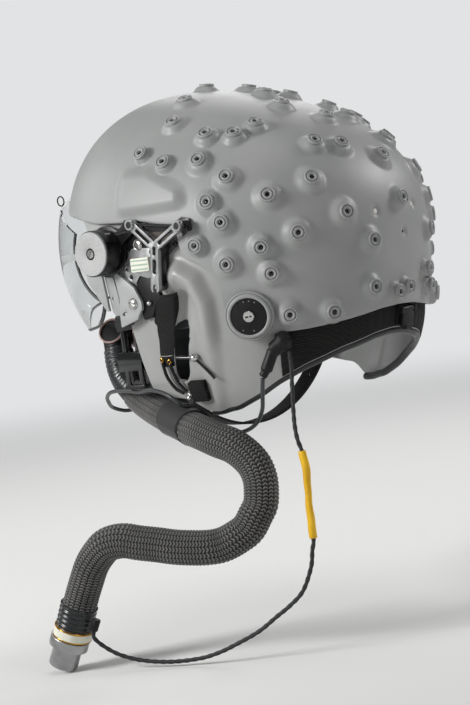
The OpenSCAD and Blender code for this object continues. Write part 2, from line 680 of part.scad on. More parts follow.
// Knob drum: turns on the hub's spindle
module knob_drum() {
    difference() {
        at_pivot(knob_x) cylinder(r = knob_r, h = knob_d);
        at_pivot(knob_x - 1) cylinder(r = spindle_r + fit_play, h = knob_d - 1.5);
        at_pivot(knob_x + 3) for (k = [0 : 3]) rotate(90 * k + 20)
            translate([knob_r - 0.8, -1, 0]) cube([3, 2, knob_d - 6]);
    }
}
module knob_drum_left() { color("black") knob_drum(); }
module knob_drum_right() { mirror([1, 0, 0]) color("black") knob_drum(); }
module knob_face() {
    at_pivot(knob_end_x + layer_gap) difference() {
        cylinder(r = knob_r - 1, h = face_t);
        translate([0, 0, 0.6]) difference() {
            cylinder(r = 5, h = 3);
            cylinder(r = 3.8, h = 3);
        }
        rotate(35) translate([-3.6, -0.6, 0.8]) cube([7.2, 1.2, 3]);
    }
}
module knob_face_left() { color("whitesmoke") knob_face(); }
module knob_face_right() { mirror([1, 0, 0]) color("whitesmoke") knob_face(); }

// Visor
visor_r = shell_front + pivot_y + visor_clear;
visor_half_w = shell_half_w - visor_inset;
visor_span = 70;
visor_top = 24;
visor_low = [[0, -16], [20, -22], [35, -34], [50, -45], [60, -58], [70, -66]];
visor_columns = [for (k = [-12 : 12]) visor_span * k / 12];
function visor_point(phi, theta, off) =
    let (rho = (visor_r + off) * cos(phi))
    [(visor_half_w + off) * sin(phi), pivot_y - rho * cos(theta), pivot_z + rho * sin(theta)];
function visor_grid(off) = [for (i = [0 : 8]) [for (phi = visor_columns)
    visor_point(phi, visor_top + (lookup(abs(phi), visor_low) - visor_top) * i / 8, off)]];
module visor() {
    color("lightblue", 0.4) block_between(visor_grid(0), visor_grid(-visor_t));
}
visor_lip_r = 1.4;
visor_lip_drop = 2.1;
module visor_edge() {
    path = [for (phi = visor_columns) let (rho = visor_r * cos(phi))
        visor_point(phi, lookup(abs(phi), visor_low) - visor_lip_drop * 57.3 / rho, -visor_t / 2)];
    color("black") plain_tube(path, visor_lip_r, 8, [1, 0, 0.02]);
}
stand_rho = 54;
stand_inset = 12.1;
stand_x = shell_half_w - stand_inset;
stand_angles = [-20, -55];
arm_outline = [[-47, 18], [-95, -9], [-98, -18], [-76, -47], [-66, -48], [-31, -6]];
module visor_arm() {
    difference() {
        union() {
            at_pivot(arm_x) cylinder(r = arm_ring_r, h = arm_t);
            side_sheet(arm_x, arm_t) polygon(arm_outline);
            for (a = stand_angles)
                translate([stand_x, pivot_y - stand_rho * cos(a), pivot_z + stand_rho * sin(a)])
                    rotate([0, 90, 0]) cylinder(r = 3, h = arm_x + 0.5 - stand_x);
        }
        at_pivot(arm_x - 1) cylinder(r = arm_seat_r + fit_play, h = arm_t + 2);
        side_sheet(arm_x - 1, arm_t + 2) bar2d([-68, -12], [-64, -26], 7);
    }
}
module visor_arm_left() { color("white") visor_arm(); }
module visor_arm_right() { mirror([1, 0, 0]) color("white") visor_arm(); }
tab_phi = 40;
tab_r = 4.4;
tab_wire = 1;
tab_theta = visor_top + 2.95;
tab_way = [sin(tab_phi), -cos(tab_phi) * cos(tab_theta), cos(tab_phi) * sin(tab_theta)];
module visor_tabs() {
    color("black") both_sides() translate(visor_point(tab_phi, tab_theta, -1)) aim(tab_way)
        rotate_extrude() translate([tab_r, 0]) circle(r = tab_wire);
}

// Ear discs
disc_az = 38.7;
disc_el = -22.8;
disc_clear = 0.25;
disc_t = 3.6;
rim_h = 5;
disc_pin_r = 3;
bezel_r = disc_r + disc_clear + disc_rim;
disc_way = shell_normal(disc_az, disc_el);
module ear_bezel() {
    on_shell(disc_az, disc_el) translate([0, 0, 0.2]) {
        difference() {
            cylinder(r = bezel_r, h = rim_h);
            translate([0, 0, 0.8]) cylinder(r = disc_r + disc_clear, h = rim_h);
        }
        cylinder(r = disc_pin_r, h = 3);
    }
}
module ear_bezels() { color("lightgray") both_sides() ear_bezel(); }
module ear_disc() {
    on_shell(disc_az, disc_el) translate([0, 0, 1.3]) difference() {
        union() {
            cylinder(r = disc_r, h = disc_t);
            cylinder(r = 5.5, h = disc_t + 0.8);
        }
        translate([0, 0, -1]) cylinder(r = disc_pin_r + fit_play, h = 3.2);
        translate([-4, -0.7, disc_t]) cube([8, 1.4, 3]);
        for (k = [0 : 2]) rotate(150 + 30 * k) translate([disc_r - 2.6, 0, disc_t - 0.5]) cylinder(r = 0.7, h = 2);
    }
}
module ear_disc_left() { color("black") ear_disc(); }
module ear_disc_right() { mirror([1, 0, 0]) color("black") ear_disc(); }

// Places on the inner shell, with the ear ridge
module on_inner(az, el, rise = 0) {
    translate(at(az, el, inner_r(az, el)) + rise * shell_normal(az, el))
        aim(shell_normal(az, el)) children();
}

// Rear latch: a hinged flap on a base below the outer shell's rear edge
latch_az = 95;
latch_el = -28.2;
flap_pin_r = 1.2;
flap_hinge = -5;
flap_rise = 5.2;
module rear_latch_base() {
    color("black") on_inner(latch_az, latch_el, 0.3) difference() {
        union() {
            translate([-8, -11, 0]) cube([16, 22, 2.2]);
            for (y = [-11, 8.4]) translate([flap_hinge - 2.6, y, 0]) cube([5.2, 2.6, flap_rise + 2.4]);
        }
        translate([flap_hinge, -12, flap_rise]) rotate([-90, 0, 0])
            cylinder(r = flap_pin_r + fit_play, h = 24);
    }
}
module rear_latch() {
    color("black") on_inner(latch_az, latch_el, 0.3) {
        translate([flap_hinge, -8, flap_rise]) rotate([-90, 0, 0]) cylinder(r = 2.3, h = 16);
        translate([flap_hinge, -10.9, flap_rise]) rotate([-90, 0, 0]) cylinder(r = flap_pin_r, h = 21.8);
        translate([flap_hinge, -8, flap_rise - 1.5]) cube([15, 16, 3]);
        translate([flap_hinge + 13, -5, flap_rise - 1.5]) cube([4, 10, 4.2]);
    }
}

// Webbing strap down each cheek: azimuth at the two edges, elevation
strap_rise = 0.6;
strap_t = 2.2;
strap_rows = [[1.7, 12.7, -15.4], [1.2, 12.2, -18.5], [0.8, 11.4, -21.5], [0.4, 10, -24.5], [0.2, 8.6, -27.5],
    [0, 7.6, -30.5], [-0.8, 6, -33.5], [-1.4, 4.4, -36.5], [-1.4, 4.2, -38]];
function strap_grid(off) = [for (row = strap_rows) [for (k = [0 : 4])
    let (az = row[0] + (row[1] - row[0]) * k / 4) at(az, row[2], inner_r(az, row[2]) + off)]];
module straps() {
    color("black") both_sides() block_between(strap_grid(strap_rise + strap_t), strap_grid(strap_rise));
}
eyelet_places = [[-0.4, -36.2], [3.2, -36.8]];
module strap_eyelets() {
    color("gold") both_sides() for (p = eyelet_places)
        on_inner(p[0], p[1], strap_rise + strap_t + 0.15) difference() {
            cylinder(r = 2.4, h = 0.9);
            translate([0, 0, -1]) cylinder(r = 1.4, h = 3);
        }
}
strap_cord_r = 1.1;
cord_a = [[-0.5, -38.15], [-0.4, -40], [0.4, -41.8], [2.4, -44], [5.6, -45.2]];
cord_b = [[3.3, -38.15], [3.8, -40.2], [4.6, -42.2], [6.2, -43.8], [7.6, -44.8]];
function inner_path(places, off) = [for (p = places) at(p[0], p[1], inner_r(p[0], p[1]) + off)];
module strap_cords() {
    color("black") both_sides() {
        plain_tube(inner_path(cord_a, 3.6), strap_cord_r, 8, [1, 0, 0]);
        plain_tube(inner_path(cord_b, 3.6), strap_cord_r, 8, [1, 0, 0]);
    }
}
module strap_keepers() {
    color("black") both_sides() on_inner(13.6, -45.2, 0.3) difference() {
        translate([-9, -8, 0]) cube([18, 16, 6]);
        translate([-6, -9, 2]) cube([4, 18, 1.6]);
        translate([2, -9, 2]) cube([4, 18, 1.6]);
    }
}
module strap_fittings() {
    color("silver") both_sides() on_inner(7.4, -47.2, 0.3) {
        cylinder(r = 4.2, h = 2.4);
        translate([0, 0, 2.4]) sphere(r = 2.6);
    }
}
wire_places = [[6.5, -35.4], [10, -35.2], [14.7, -35.5], [19, -36.3], [23, -37.4], [26.4, -38.4]];
wire_r = 1.3;
module wire_clips() {
    color("black") both_sides() {
        plain_tube(inner_path(wire_places, 2.9), wire_r, 8, [1, 0, 0]);
        on_inner(14.6, -35.4, 0.3) cylinder(r = 3.4, h = 3);
    }
}

// Mask: height, half width and reach ahead of the face line
mask_rows = [[-36, 20, 50], [-60, 32, 60], [-85, 44, 66], [-110, 46, 66], [-130, 40, 60], [-140, 30, 52]];
mask_y = -80;
mask_turn = 75;
mask_columns = [for (k = [-7 : 7]) mask_turn * k / 7];
function mask_point(row, phi, off) =
    [(row[1] + off) * sin(phi), mask_y - (row[2] + off) * cos(phi), row[0]];
function mask_grid(off) = [for (row = mask_rows) [for (phi = mask_columns) mask_point(row, phi, off)]];
valve_c = [44, -120, -70];
valve_way = [0.783, -0.622, 0];
port_r = 14;
elbow_r = 12.4;
elbow_bore = 9.5;
lug_face_x = 54;
module mask_shell() {
    color("darkgray") difference() {
        union() {
            block_between(mask_grid(0), mask_grid(-mask_wall));
            rod_between(valve_c - 19 * valve_way, valve_c - 7 * valve_way, port_r);
            both_sides() translate([41.5, -105, -100]) cube([lug_face_x - 41.5, 8, 16]);
        }
        rod_between(valve_c - 40 * valve_way, valve_c, elbow_bore);
    }
}
seal_r = 4.3;
seal_in = mask_wall / 2;
seal_back = seal_r + 1.35;
seal_left = concat(
    [for (phi = [0, 25, 50, 70]) mask_point([mask_rows[0][0] + seal_back, mask_rows[0][1], mask_rows[0][2]],
        phi, -seal_in)],
    [for (row = mask_rows) mask_point(row, mask_turn, -seal_in) + [0, seal_back, 0]],
    [for (phi = [68, 50, 30, 12]) mask_point([mask_rows[5][0] - seal_back, mask_rows[5][1], mask_rows[5][2]],
        phi, -seal_in)]);
seal_right = [for (k = [len(seal_left) - 1 : -1 : 1]) [-seal_left[k][0], seal_left[k][1], seal_left[k][2]]];
seal_gap = 0.6;
module face_seal() {
    path = concat([seal_left[0] + [seal_gap, 0, 0]], [for (k = [1 : len(seal_left) - 1]) seal_left[k]],
        seal_right, [seal_left[0] - [seal_gap, 0, 0]]);
    color("black") plain_tube(path, seal_r, 8, [0.1, -1, 0.15]);
}
module mask_valve() {
    color("rosybrown") difference() {
        rod_between(valve_c - 6.9 * valve_way, valve_c - 1.5 * valve_way, port_r + 1.5);
        rod_between(valve_c - 10 * valve_way, valve_c, elbow_r + 0.1);
    }
}
hose_start = [61, -119, -87];
elbow_turn = valve_c + 12 * valve_way;
hose_way = (hose_start - elbow_turn) / norm(hose_start - elbow_turn);
module elbow_form(r, ball, past) {
    rod_between(valve_c - (6.8 + past) * valve_way, elbow_turn, r);
    translate(elbow_turn) sphere(r = ball);
    rod_between(elbow_turn, hose_start + (past - 0.8) * hose_way, r);
}
module hose_elbow() {
    color("black") difference() {
        elbow_form(elbow_r, elbow_r + 0.6, 0);
        elbow_form(elbow_bore, elbow_bore + 0.5, 4);
    }
}
jack_base = [32, -107.3, -136.5];
jack_end = [36.5, -113.5, -138.5];
module microphone() {
    color("black") rod_between(jack_base, jack_end, 3.6);
    color("black") translate([0, -122, -112]) rotate([90, 0, 0]) cylinder(r = 9, h = 17);
}
carriage_y = -62;
carriage_z = -100;
carriage_in = 8;
carriage_w = 14;
module mask_arms() {
    color("black") both_sides() {
        difference() {
            translate([rail_x - carriage_in, carriage_y, carriage_z]) cube([carriage_w, 28, 16]);
            for (y = [rail_y, rail_y - rail_pitch])
                translate([rail_x, y, carriage_z - 1]) cylinder(r = rail_r + fit_play, h = 18);
        }
        translate([0, 0, carriage_z + 3]) linear_extrude(10)
            bar2d([rail_x - carriage_in + 0.5, carriage_y + 5], [lug_face_x + 3.5, -98], 6);
    }
}

// Hose: points along its middle
hose_points = [[61, -119, -87], [65, -115, -96], [69, -109, -105], [75, -98, -114], [83, -76, -127],
    [91, -53, -136], [102, -26, -143], [111, -1, -149], [116, 13, -153], [121, 28, -156], [123, 46, -162],
    [122, 60, -167], [120, 71, -175], [119, 79, -184], [119, 83, -194], [120, 84, -204],
    [122, 83, -216], [126, 79, -225], [130, 73, -235], [136, 65, -241], [142, 54, -246],
    [149, 44, -247], [156, 32, -246], [163, 19, -244], [169, 6, -241], [176, -8, -238],
    [182, -21, -235], [187, -34, -237], [189, -44, -244], [191, -53, -254], [191.5, -60, -265],
    [192, -67, -277], [193.5, -72, -288]];
hose_side = [0.75, 0.66, 0.05];
hose_fine = smooth_path(hose_points, 8);
bare_steps = 28;
sleeve_path = concat([hose_fine[bare_steps]], [for (k = [4 : len(hose_points) - 1]) hose_points[k]]);
hose_path = concat([for (k = [0 : bare_steps - 1]) hose_fine[k]], sleeve_path);
hose_radii = [for (k = [0 : len(hose_path) - 1])
    k >= bare_steps - 2 ? hose_r - 0.6 : k % 2 == 0 ? hose_r : hose_r - rib_depth];
sleeve_play = 0.25;
module hose_tube() {
    color("black") swept_tube(hose_path, hose_radii, hose_bore, 12, hose_side);
}
module hose_sleeve() {
    color("dimgray") swept_tube(sleeve_path, [for (p = sleeve_path) sleeve_r], hose_r - 0.6 + sleeve_play, 12,
        hose_side);
}
band_first = 3;
band_path = [for (k = [band_first : band_first + 1]) sleeve_path[k]];
module hose_band() {
    color("black") swept_tube(band_path, [for (p = band_path) sleeve_r + 1.8], sleeve_r + 0.2, 12, hose_side);
}
cuff_way = [0.1, -0.43, -0.897];
cuff_start = hose_points[len(hose_points) - 1];
cuff_len = 30;
cuff_r = 16;
ring_len = 9;
plug_a = [195.5, -57, -309];
plug_b = [194.1, -52.8, -300];
plug_r = 3.5;
plug_mid = (plug_a + plug_b) / 2;
cuff_lug_way = (plug_mid - cuff_start - ((plug_mid - cuff_start) * cuff_way) * cuff_way);
cuff_lug_unit = cuff_lug_way / norm(cuff_lug_way);
module hose_cuff() {
    color("black") difference() {
        union() {
            rod_between(cuff_start + 0.7 * cuff_way, cuff_start + cuff_len * cuff_way, cuff_r);
            rod_between(plug_mid - norm(cuff_lug_way) * cuff_lug_unit, plug_mid - (plug_r + 0.2) * cuff_lug_unit, 3.6);
        }
        rod_between(cuff_start - 2 * cuff_way, cuff_start + (cuff_len + 2) * cuff_way, hose_bore);
    }
}
module hose_connector() {
    color("silver") difference() {
        union() {
            rod_between(cuff_start + (cuff_len + 0.2) * cuff_way,
                cuff_start + (cuff_len + 0.2 + ring_len) * cuff_way, cuff_r + 1);
            rod_between(cuff_start + (cuff_len + ring_len - 1) * cuff_way,
                cuff_start + (cuff_len + 0.2 + ring_len + connector_len) * cuff_way, connector_r);
        }
        rod_between(cuff_start, cuff_start + (cuff_len + ring_len + connector_len + 2) * cuff_way, hose_bore - 1);
    }
}

// Leads: sockets under the rear of the left ear, points along each lead
socket_az = 48.5;
socket_el = -30.5;
socket_root = at(socket_az, socket_el, inner_r(socket_az, socket_el)) + 0.3 * shell_normal(socket_az, socket_el);
socket_mid = socket_root + 13 * shell_normal(socket_az, socket_el);
mic_socket_end = [115, 97, -112.6];
comms_socket_end = [102, 117, -93];
module lead_sockets() {
    color("black") {
        rod_between(socket_root, socket_mid, 7);
        translate(socket_mid) sphere(r = 7.5);
        rod_between(socket_mid, [108, 106, -92], 6.5);
        rod_between([108, 106, -92], [113, 100, -108], 5);
        rod_between([113, 100, -108], mic_socket_end, 3.6);
        rod_between(socket_mid, comms_socket_end, 4);
    }
}
mic_points = [[115, 97, -113.6], [115, 95, -124], [113, 92, -132], [111, 88, -141], [108, 78, -151],
    [103, 60, -158], [99, 38, -160], [98, 24, -154], [97, 14, -146], [100, 8, -138.5],
    [105, 5.5, -133.7], [110, 5.5, -132.9], [115, 6, -132.9], [120, 6, -131.5], [123.5, 5, -127.5],
    [125, -1, -123],
    [124, -12, -119], [121, -28, -117], [114, -47, -119],
    [109, -65, -118], [104, -83, -118], [97, -100, -120], [88, -114, -125], [78, -123, -131],
    [68, -130, -136], [58, -131, -140], [50, -129, -142], [43, -122, -141], [37, -114, -139]];
module mic_lead() {
    color("black") plain_tube(mic_points, mic_lead_r, 8, [0.75, 0.66, 0.05]);
}
comms_points = [[102, 117.5, -94], [102.5, 118, -108], [106, 119, -126], [109, 120, -142], [111, 121, -155],
    [112, 123, -166], [111, 125, -175], [111, 127, -192], [113, 127, -219], [113, 127, -246],
    [114, 125, -256], [115, 122, -270], [117, 112, -289], [122, 101, -300], [126, 88, -309],
    [133, 73, -320], [141, 55, -329], [148, 38, -336], [155, 21, -340], [166, -3, -341],
    [176, -26, -338], [184, -42, -332], [190, -53, -324], [195, -58, -316], [195.6, -57.3, -310.3]];
module comms_lead() {
    color("black") plain_tube(comms_points, comms_lead_r, 8, [0.75, 0.66, 0.05]);
}
tag_points = [[111, 125, -175], [111, 127, -192], [113, 127, -219], [113, 127, -246]];
module lead_sleeve() {
    color("gold") swept_tube(tag_points, [for (p = tag_points) comms_lead_r + 1.4], comms_lead_r + 0.35, 8,
        [0.75, 0.66, 0.05]);
}
module comms_plug() {
    color("black") rod_between(plug_a, plug_b, plug_r);
}

outer_shell();
emitter_housings();
emitter_lenses();
inner_shell();
shell_pads();
edge_roll();
liner();
brow_pad();
nape_pad();
ear_cups();
ear_seals();
earphones();
chin_strap();
hub_left();
hub_right();
side_plates();
clip_blocks();
mask_receivers();
mask_rails();
plate_screws();
latch_rods();
latch_lever_left();
latch_lever_right();
knob_drum_left();
knob_drum_right();
knob_face_left();
knob_face_right();
visor();
visor_edge();
visor_arm_left();
visor_arm_right();
visor_tabs();
ear_bezels();
ear_disc_left();
ear_disc_right();
rear_latch_base();
rear_latch();
straps();
strap_eyelets();
strap_cords();
strap_keepers();
strap_fittings();
wire_clips();
mask_shell();
face_seal();
mask_valve();
hose_elbow();
microphone();
mask_arms();
hose_tube();
hose_sleeve();
hose_band();
hose_cuff();
hose_connector();
lead_sockets();
mic_lead();
comms_lead();
lead_sleeve();
comms_plug();
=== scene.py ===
import math

import bmesh
import bpy
import numpy as np
from mathutils import Matrix, Vector


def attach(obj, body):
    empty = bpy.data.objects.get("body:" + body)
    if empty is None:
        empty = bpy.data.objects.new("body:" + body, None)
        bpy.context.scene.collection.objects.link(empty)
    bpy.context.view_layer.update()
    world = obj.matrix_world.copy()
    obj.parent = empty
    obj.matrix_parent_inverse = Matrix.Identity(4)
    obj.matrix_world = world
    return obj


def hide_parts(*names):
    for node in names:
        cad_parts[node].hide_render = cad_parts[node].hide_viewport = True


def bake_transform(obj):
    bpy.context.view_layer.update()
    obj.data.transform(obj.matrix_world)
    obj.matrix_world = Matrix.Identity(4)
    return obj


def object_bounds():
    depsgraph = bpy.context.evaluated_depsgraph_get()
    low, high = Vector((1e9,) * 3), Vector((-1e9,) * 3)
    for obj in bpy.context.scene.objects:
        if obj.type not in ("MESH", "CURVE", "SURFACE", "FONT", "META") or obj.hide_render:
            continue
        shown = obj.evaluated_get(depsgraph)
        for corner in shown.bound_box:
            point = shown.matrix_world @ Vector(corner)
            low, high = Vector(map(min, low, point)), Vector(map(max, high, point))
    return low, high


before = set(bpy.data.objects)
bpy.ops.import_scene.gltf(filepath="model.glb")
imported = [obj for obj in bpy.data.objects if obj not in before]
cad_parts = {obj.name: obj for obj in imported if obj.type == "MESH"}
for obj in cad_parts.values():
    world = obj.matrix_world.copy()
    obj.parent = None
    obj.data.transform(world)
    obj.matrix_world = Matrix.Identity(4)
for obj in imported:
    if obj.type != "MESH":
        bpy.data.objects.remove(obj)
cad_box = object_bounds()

MM = 0.001
scene = bpy.context.scene
scene.view_settings.view_transform = "Standard"

# Camera
# A long lens at head height, behind the wearer's left shoulder, rolled a few degrees.
# Its place comes from the fit of the shell and the side mechanism to the photograph.
camera_reach = 1.8
to_camera = Vector((0.749, 0.662, 0.007)).normalized()
frame_right = Vector((-0.656, 0.743, -0.131)).normalized()
frame_up = to_camera.cross(frame_right)
lens_px, centre_px, frame_height_px = 2034, (-13.5, -115.0), 705
sight = -to_camera * lens_px + frame_right * centre_px[0] + frame_up * centre_px[1]
camera_back = -sight.normalized()
camera_right = (frame_right - frame_right.dot(camera_back) * camera_back).normalized()
camera_up = camera_back.cross(camera_right)
camera = bpy.data.objects.new("camera", bpy.data.cameras.new("camera"))
scene.collection.objects.link(camera)
turn = Matrix((camera_right, camera_up, camera_back)).transposed().to_4x4()
camera.matrix_world = Matrix.Translation(to_camera * camera_reach) @ turn
camera.data.sensor_fit = "VERTICAL"
camera.data.sensor_height = 36
camera.data.lens = lens_px / frame_height_px * 36
scene.camera = camera


# Floor, backdrop and lamps
# A pale sweep under the helmet and six soft boxes round it, the strongest one ahead of the left
# ear. Past the sweep's edge the floor takes the colour of the world, so no horizon shows.
def linear(sheet_colour):
    """An sRGB hex colour as linear red, green, blue and alpha."""
    parts = [int(sheet_colour[k:k + 2], 16) / 255 for k in (0, 2, 4)]
    return [p / 12.92 if p <= 0.04045 else ((p + 0.055) / 1.055) ** 2.4 for p in parts] + [1]


def add_node(tree, kind, wires=None, **settings):
    """Adds a shader node with its settings; wires gives each input a value, a node or a socket."""
    made = tree.nodes.new("ShaderNode" + kind)
    for name, value in settings.items():
        setattr(made, name, value)
    for name, value in (wires or {}).items():
        value = value.outputs[0] if isinstance(value, bpy.types.Node) else value
        if isinstance(value, bpy.types.NodeSocket):
            tree.links.new(value, made.inputs[name])
        else:
            made.inputs[name].default_value = value
    return made


def new_material(name):
    material = bpy.data.materials.new(name)
    material.use_nodes = True
    material.node_tree.nodes.clear()
    return material


def disc(name, sides, radius, height=0):
    bpy.ops.object.select_all(action="DESELECT")
    bpy.ops.mesh.primitive_circle_add(vertices=sides, radius=radius, fill_type="NGON",
        location=(0, 0, height))
    piece = bpy.context.object
    piece.name = piece.data.name = name
    return piece


pale = linear("e2e3e4")
floor = disc("floor", 96, 12, cad_box[0][2] - 0.001)
sweep = new_material("pale_paper_sweep")
tree = sweep.node_tree
place = add_node(tree, "TexCoord").outputs["Object"]
reach = add_node(tree, "VectorMath", {0: place}, operation="LENGTH")
far = add_node(tree, "MapRange", {"Value": reach.outputs["Value"], "From Min": 0.9,
    "From Max": 3.2}, interpolation_type="SMOOTHSTEP")
paper = add_node(tree, "BsdfDiffuse", {"Color": linear("e4e4e3"), "Roughness": 0.9})
away = add_node(tree, "Emission", {"Color": pale, "Strength": 1.0})
both = add_node(tree, "MixShader", {0: far, 1: paper, 2: away})
add_node(tree, "OutputMaterial", {"Surface": both})
floor.data.materials.append(sweep)

world = bpy.data.worlds.new("studio")
scene.world = world
world.use_nodes = True
world.node_tree.nodes.clear()
tree = world.node_tree
ray = add_node(tree, "LightPath")
seen = add_node(tree, "Math", {0: ray.outputs["Is Camera Ray"],
    1: ray.outputs["Is Transmission Ray"]}, operation="MAXIMUM")
lit = add_node(tree, "Background", {"Color": linear("f6f6f5"), "Strength": 0.15})
shown = add_node(tree, "Background", {"Color": pale, "Strength": 1.0})
sky = add_node(tree, "MixShader", {0: seen, 1: lit, 2: shown})
add_node(tree, "OutputWorld", {"Surface": sky})

soft_boxes = [("key", -22, 20, 1.8, 0.75, 28), ("side", 78, 24, 1.8, 0.8, 2.5),
    ("rear", 148, 30, 1.7, 0.6, 12), ("far_side", 215, 30, 1.8, 0.9, 7),
    ("front", 285, 20, 1.8, 0.8, 4), ("top", 60, 86, 1.5, 1.0, 5)]
for name, az, el, reach_m, width_m, watts in soft_boxes:
    lamp = bpy.data.lights.new(name, "AREA")
    lamp.shape, lamp.size, lamp.energy = "DISK", width_m, watts
    az, el = math.radians(az), math.radians(el)
    way = Vector((math.cos(el) * math.cos(az), math.cos(el) * math.sin(az), math.sin(el)))
    turn = way.to_track_quat("Z", "Y").to_matrix().to_4x4()
    box = bpy.data.objects.new(name, lamp)
    box.matrix_world = Matrix.Translation(way * reach_m) @ turn
    scene.collection.objects.link(box)


# Breathing hose
# A moulded rubber hose with ring-shaped ribs, bare for its first bend out of the mask's elbow.
# Past that bend it runs inside a knitted sleeve, so only its ends show.
def through(points, steps):
    """A smooth path through given points, in metres."""
    p = np.array(points, float) * MM
    out = []
    for k in range(len(p) - 1):
        a, b, c, d = p[max(k - 1, 0)], p[k], p[k + 1], p[min(k + 2, len(p) - 1)]
        for t in np.arange(steps) / steps:
            out.append(0.5 * (2 * b + (c - a) * t + (2 * a - 5 * b + 4 * c - d) * t ** 2
                + (3 * b - a - 3 * c + d) * t ** 3))
    return np.array(out + [p[-1]])


def reach_along(path):
    return np.concatenate([[0], np.cumsum(np.linalg.norm(np.diff(path, axis=0), axis=1))])


def resampled(path, spacing):
    """The same path with its points an even distance apart."""
    reach = reach_along(path)
    along = np.linspace(0, reach[-1], max(3, int(round(reach[-1] / spacing)) + 1))
    return np.stack([np.interp(along, reach, path[:, k]) for k in range(3)], 1)


def piece_from(name, points, faces):
    mesh = bpy.data.meshes.new(name)
    mesh.from_pydata([tuple(v) for v in np.asarray(points, float)], [], faces)
    piece = bpy.data.objects.new(name, mesh)
    scene.collection.objects.link(piece)
    mesh.polygons.foreach_set("use_smooth", [True] * len(mesh.polygons))
    return piece


def swept(name, path, radius, sides):
    """A round tube along a path that doesn't twist; radius is a number or a function of
    the distance along and the angle round. Its UV map has the turn in U and metres in V."""
    along = reach_along(path)
    n = len(path)
    ways = np.gradient(path, axis=0)
    ways /= np.linalg.norm(ways, axis=1)[:, None]
    off_line_way = [0.3, 0.2, 0.93]
    side = np.cross(ways[0], off_line_way)
    side /= np.linalg.norm(side)
    angles = 2 * np.pi * np.arange(sides) / sides
    rings = []
    for k in range(n):
        side = side - side.dot(ways[k]) * ways[k]
        side /= np.linalg.norm(side)
        other = np.cross(ways[k], side)
        r = radius(along[k], angles) if callable(radius) else np.full(sides, radius)
        rings.append(path[k] + r[:, None] * (np.cos(angles)[:, None] * side
            + np.sin(angles)[:, None] * other))
    faces = []
    for k in range(n - 1):
        for a in range(sides):
            b = (a + 1) % sides
            faces.append((k * sides + a, k * sides + b, (k + 1) * sides + b, (k + 1) * sides + a))
    faces += [tuple(range(sides))[::-1], tuple(range((n - 1) * sides, n * sides))]
    piece = piece_from(name, np.concatenate(rings), faces)
    layer = piece.data.uv_layers.new(name="UVMap")
    for polygon in piece.data.polygons:
        corners = [piece.data.loops[i].vertex_index for i in polygon.loop_indices]
        turns = [corner % sides / sides for corner in corners]
        wraps = max(turns) - min(turns) > 0.5
        for i, corner, t in zip(polygon.loop_indices, corners, turns):
            layer.data[i].uv = (t + (1 if wraps and t < 0.5 else 0), along[corner // sides])
    return piece


hose_points = [[61, -119, -87], [65, -115, -96], [69, -109, -105], [75, -98, -114], [83, -76, -127],
    [91, -53, -136], [102, -26, -143], [111, -1, -149], [116, 13, -153], [121, 28, -156], [123, 46, -162],
    [122, 60, -167], [120, 71, -175], [119, 79, -184], [119, 83, -194], [120, 84, -204], [122, 83, -216],
    [126, 79, -225], [130, 73, -235], [136, 65, -241], [142, 54, -246], [149, 44, -247], [156, 32, -246],
    [163, 19, -244], [169, 6, -241], [176, -8, -238], [182, -21, -235], [187, -34, -237], [189, -44, -244],
    [191, -53, -254], [191.5, -60, -265], [192, -67, -277], [193.5, -72, -288]]
hose_line = resampled(through(hose_points, 12), 0.0009)
rib_pitch, rib_depth, hose_r = 0.0042, 0.0012, 0.0135
bare_until, ribs_until, under_sleeve = 0.058, 0.078, 0.0004


def hose_radius(s, angles):
    wave = 0.5 + 0.5 * math.cos(2 * math.pi * s / rib_pitch)
    shape = wave ** 0.7 if s < ribs_until else 0.5
    tuck = 0 if s < bare_until else under_sleeve
    return np.full(len(angles), hose_r - rib_depth * (1 - shape) - tuck)


def solid_finish(name, dark, light, cloud_mm, grain_mm, relief_mm, roughness, uneven=0.08, **sockets):
    """A material all through or painted on: two near shades in soft clouds, a fine surface
    grain that also varies the roughness, and the shader's own sockets as given."""
    material = new_material(name)
    tree = material.node_tree
    place = add_node(tree, "TexCoord").outputs["Object"]
    cloud = add_node(tree, "TexNoise", {"Vector": place,
        "Scale": 1 / (cloud_mm * MM), "Detail": 4.0, "Roughness": 0.6})
    spread = add_node(tree, "MapRange", {"Value": cloud, "From Min": 0.3, "From Max": 0.7})
    tint = add_node(tree, "Mix", {0: spread, 6: linear(dark), 7: linear(light)},
        data_type="RGBA")
    grain = add_node(tree, "TexNoise", {"Vector": place,
        "Scale": 1 / (grain_mm * MM), "Detail": 3.0, "Roughness": 0.55})
    relief = add_node(tree, "Bump", {"Height": grain, "Strength": 1.0,
        "Distance": relief_mm * MM})
    rubbed = add_node(tree, "MapRange", {"Value": cloud, "From Min": 0.3,
        "From Max": 0.7, "To Min": roughness - uneven, "To Max": roughness + uneven})
    named = {key.replace("_", " "): value for key, value in sockets.items()}
    skin = add_node(tree, "BsdfPrincipled", {"Base Color": tint.outputs[2],
        "Roughness": rubbed, "Normal": relief, **named})
    add_node(tree, "OutputMaterial", {"Surface": skin})
    return material


def settle(piece, body, slot_name, material, *nodes):
    """Gives a piece its finish and its body, and hides the solids that it stands for. A body
    given as two points leaves the piece unattached, with its place baked into its mesh."""
    piece.data.materials.clear()
    piece.data.materials.append(material)
    if nodes:
        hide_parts(*nodes)
    if isinstance(body, str):
        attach(piece, body)
    else:
        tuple(body[0])
        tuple(body[1])
        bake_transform(piece)
    return piece


# Grey-black rubber from a mould: a soft, slightly greasy sheen on the crests.
hose_rubber = solid_finish("moulded_hose_rubber", "1c1d1f", "2b2d2f", 9, 0.7, 0.03, 0.26)
hose = swept("breathing_hose", hose_line, hose_radius, 40)
settle(hose, "mask", "black_rubber", hose_rubber, "hose_tube")
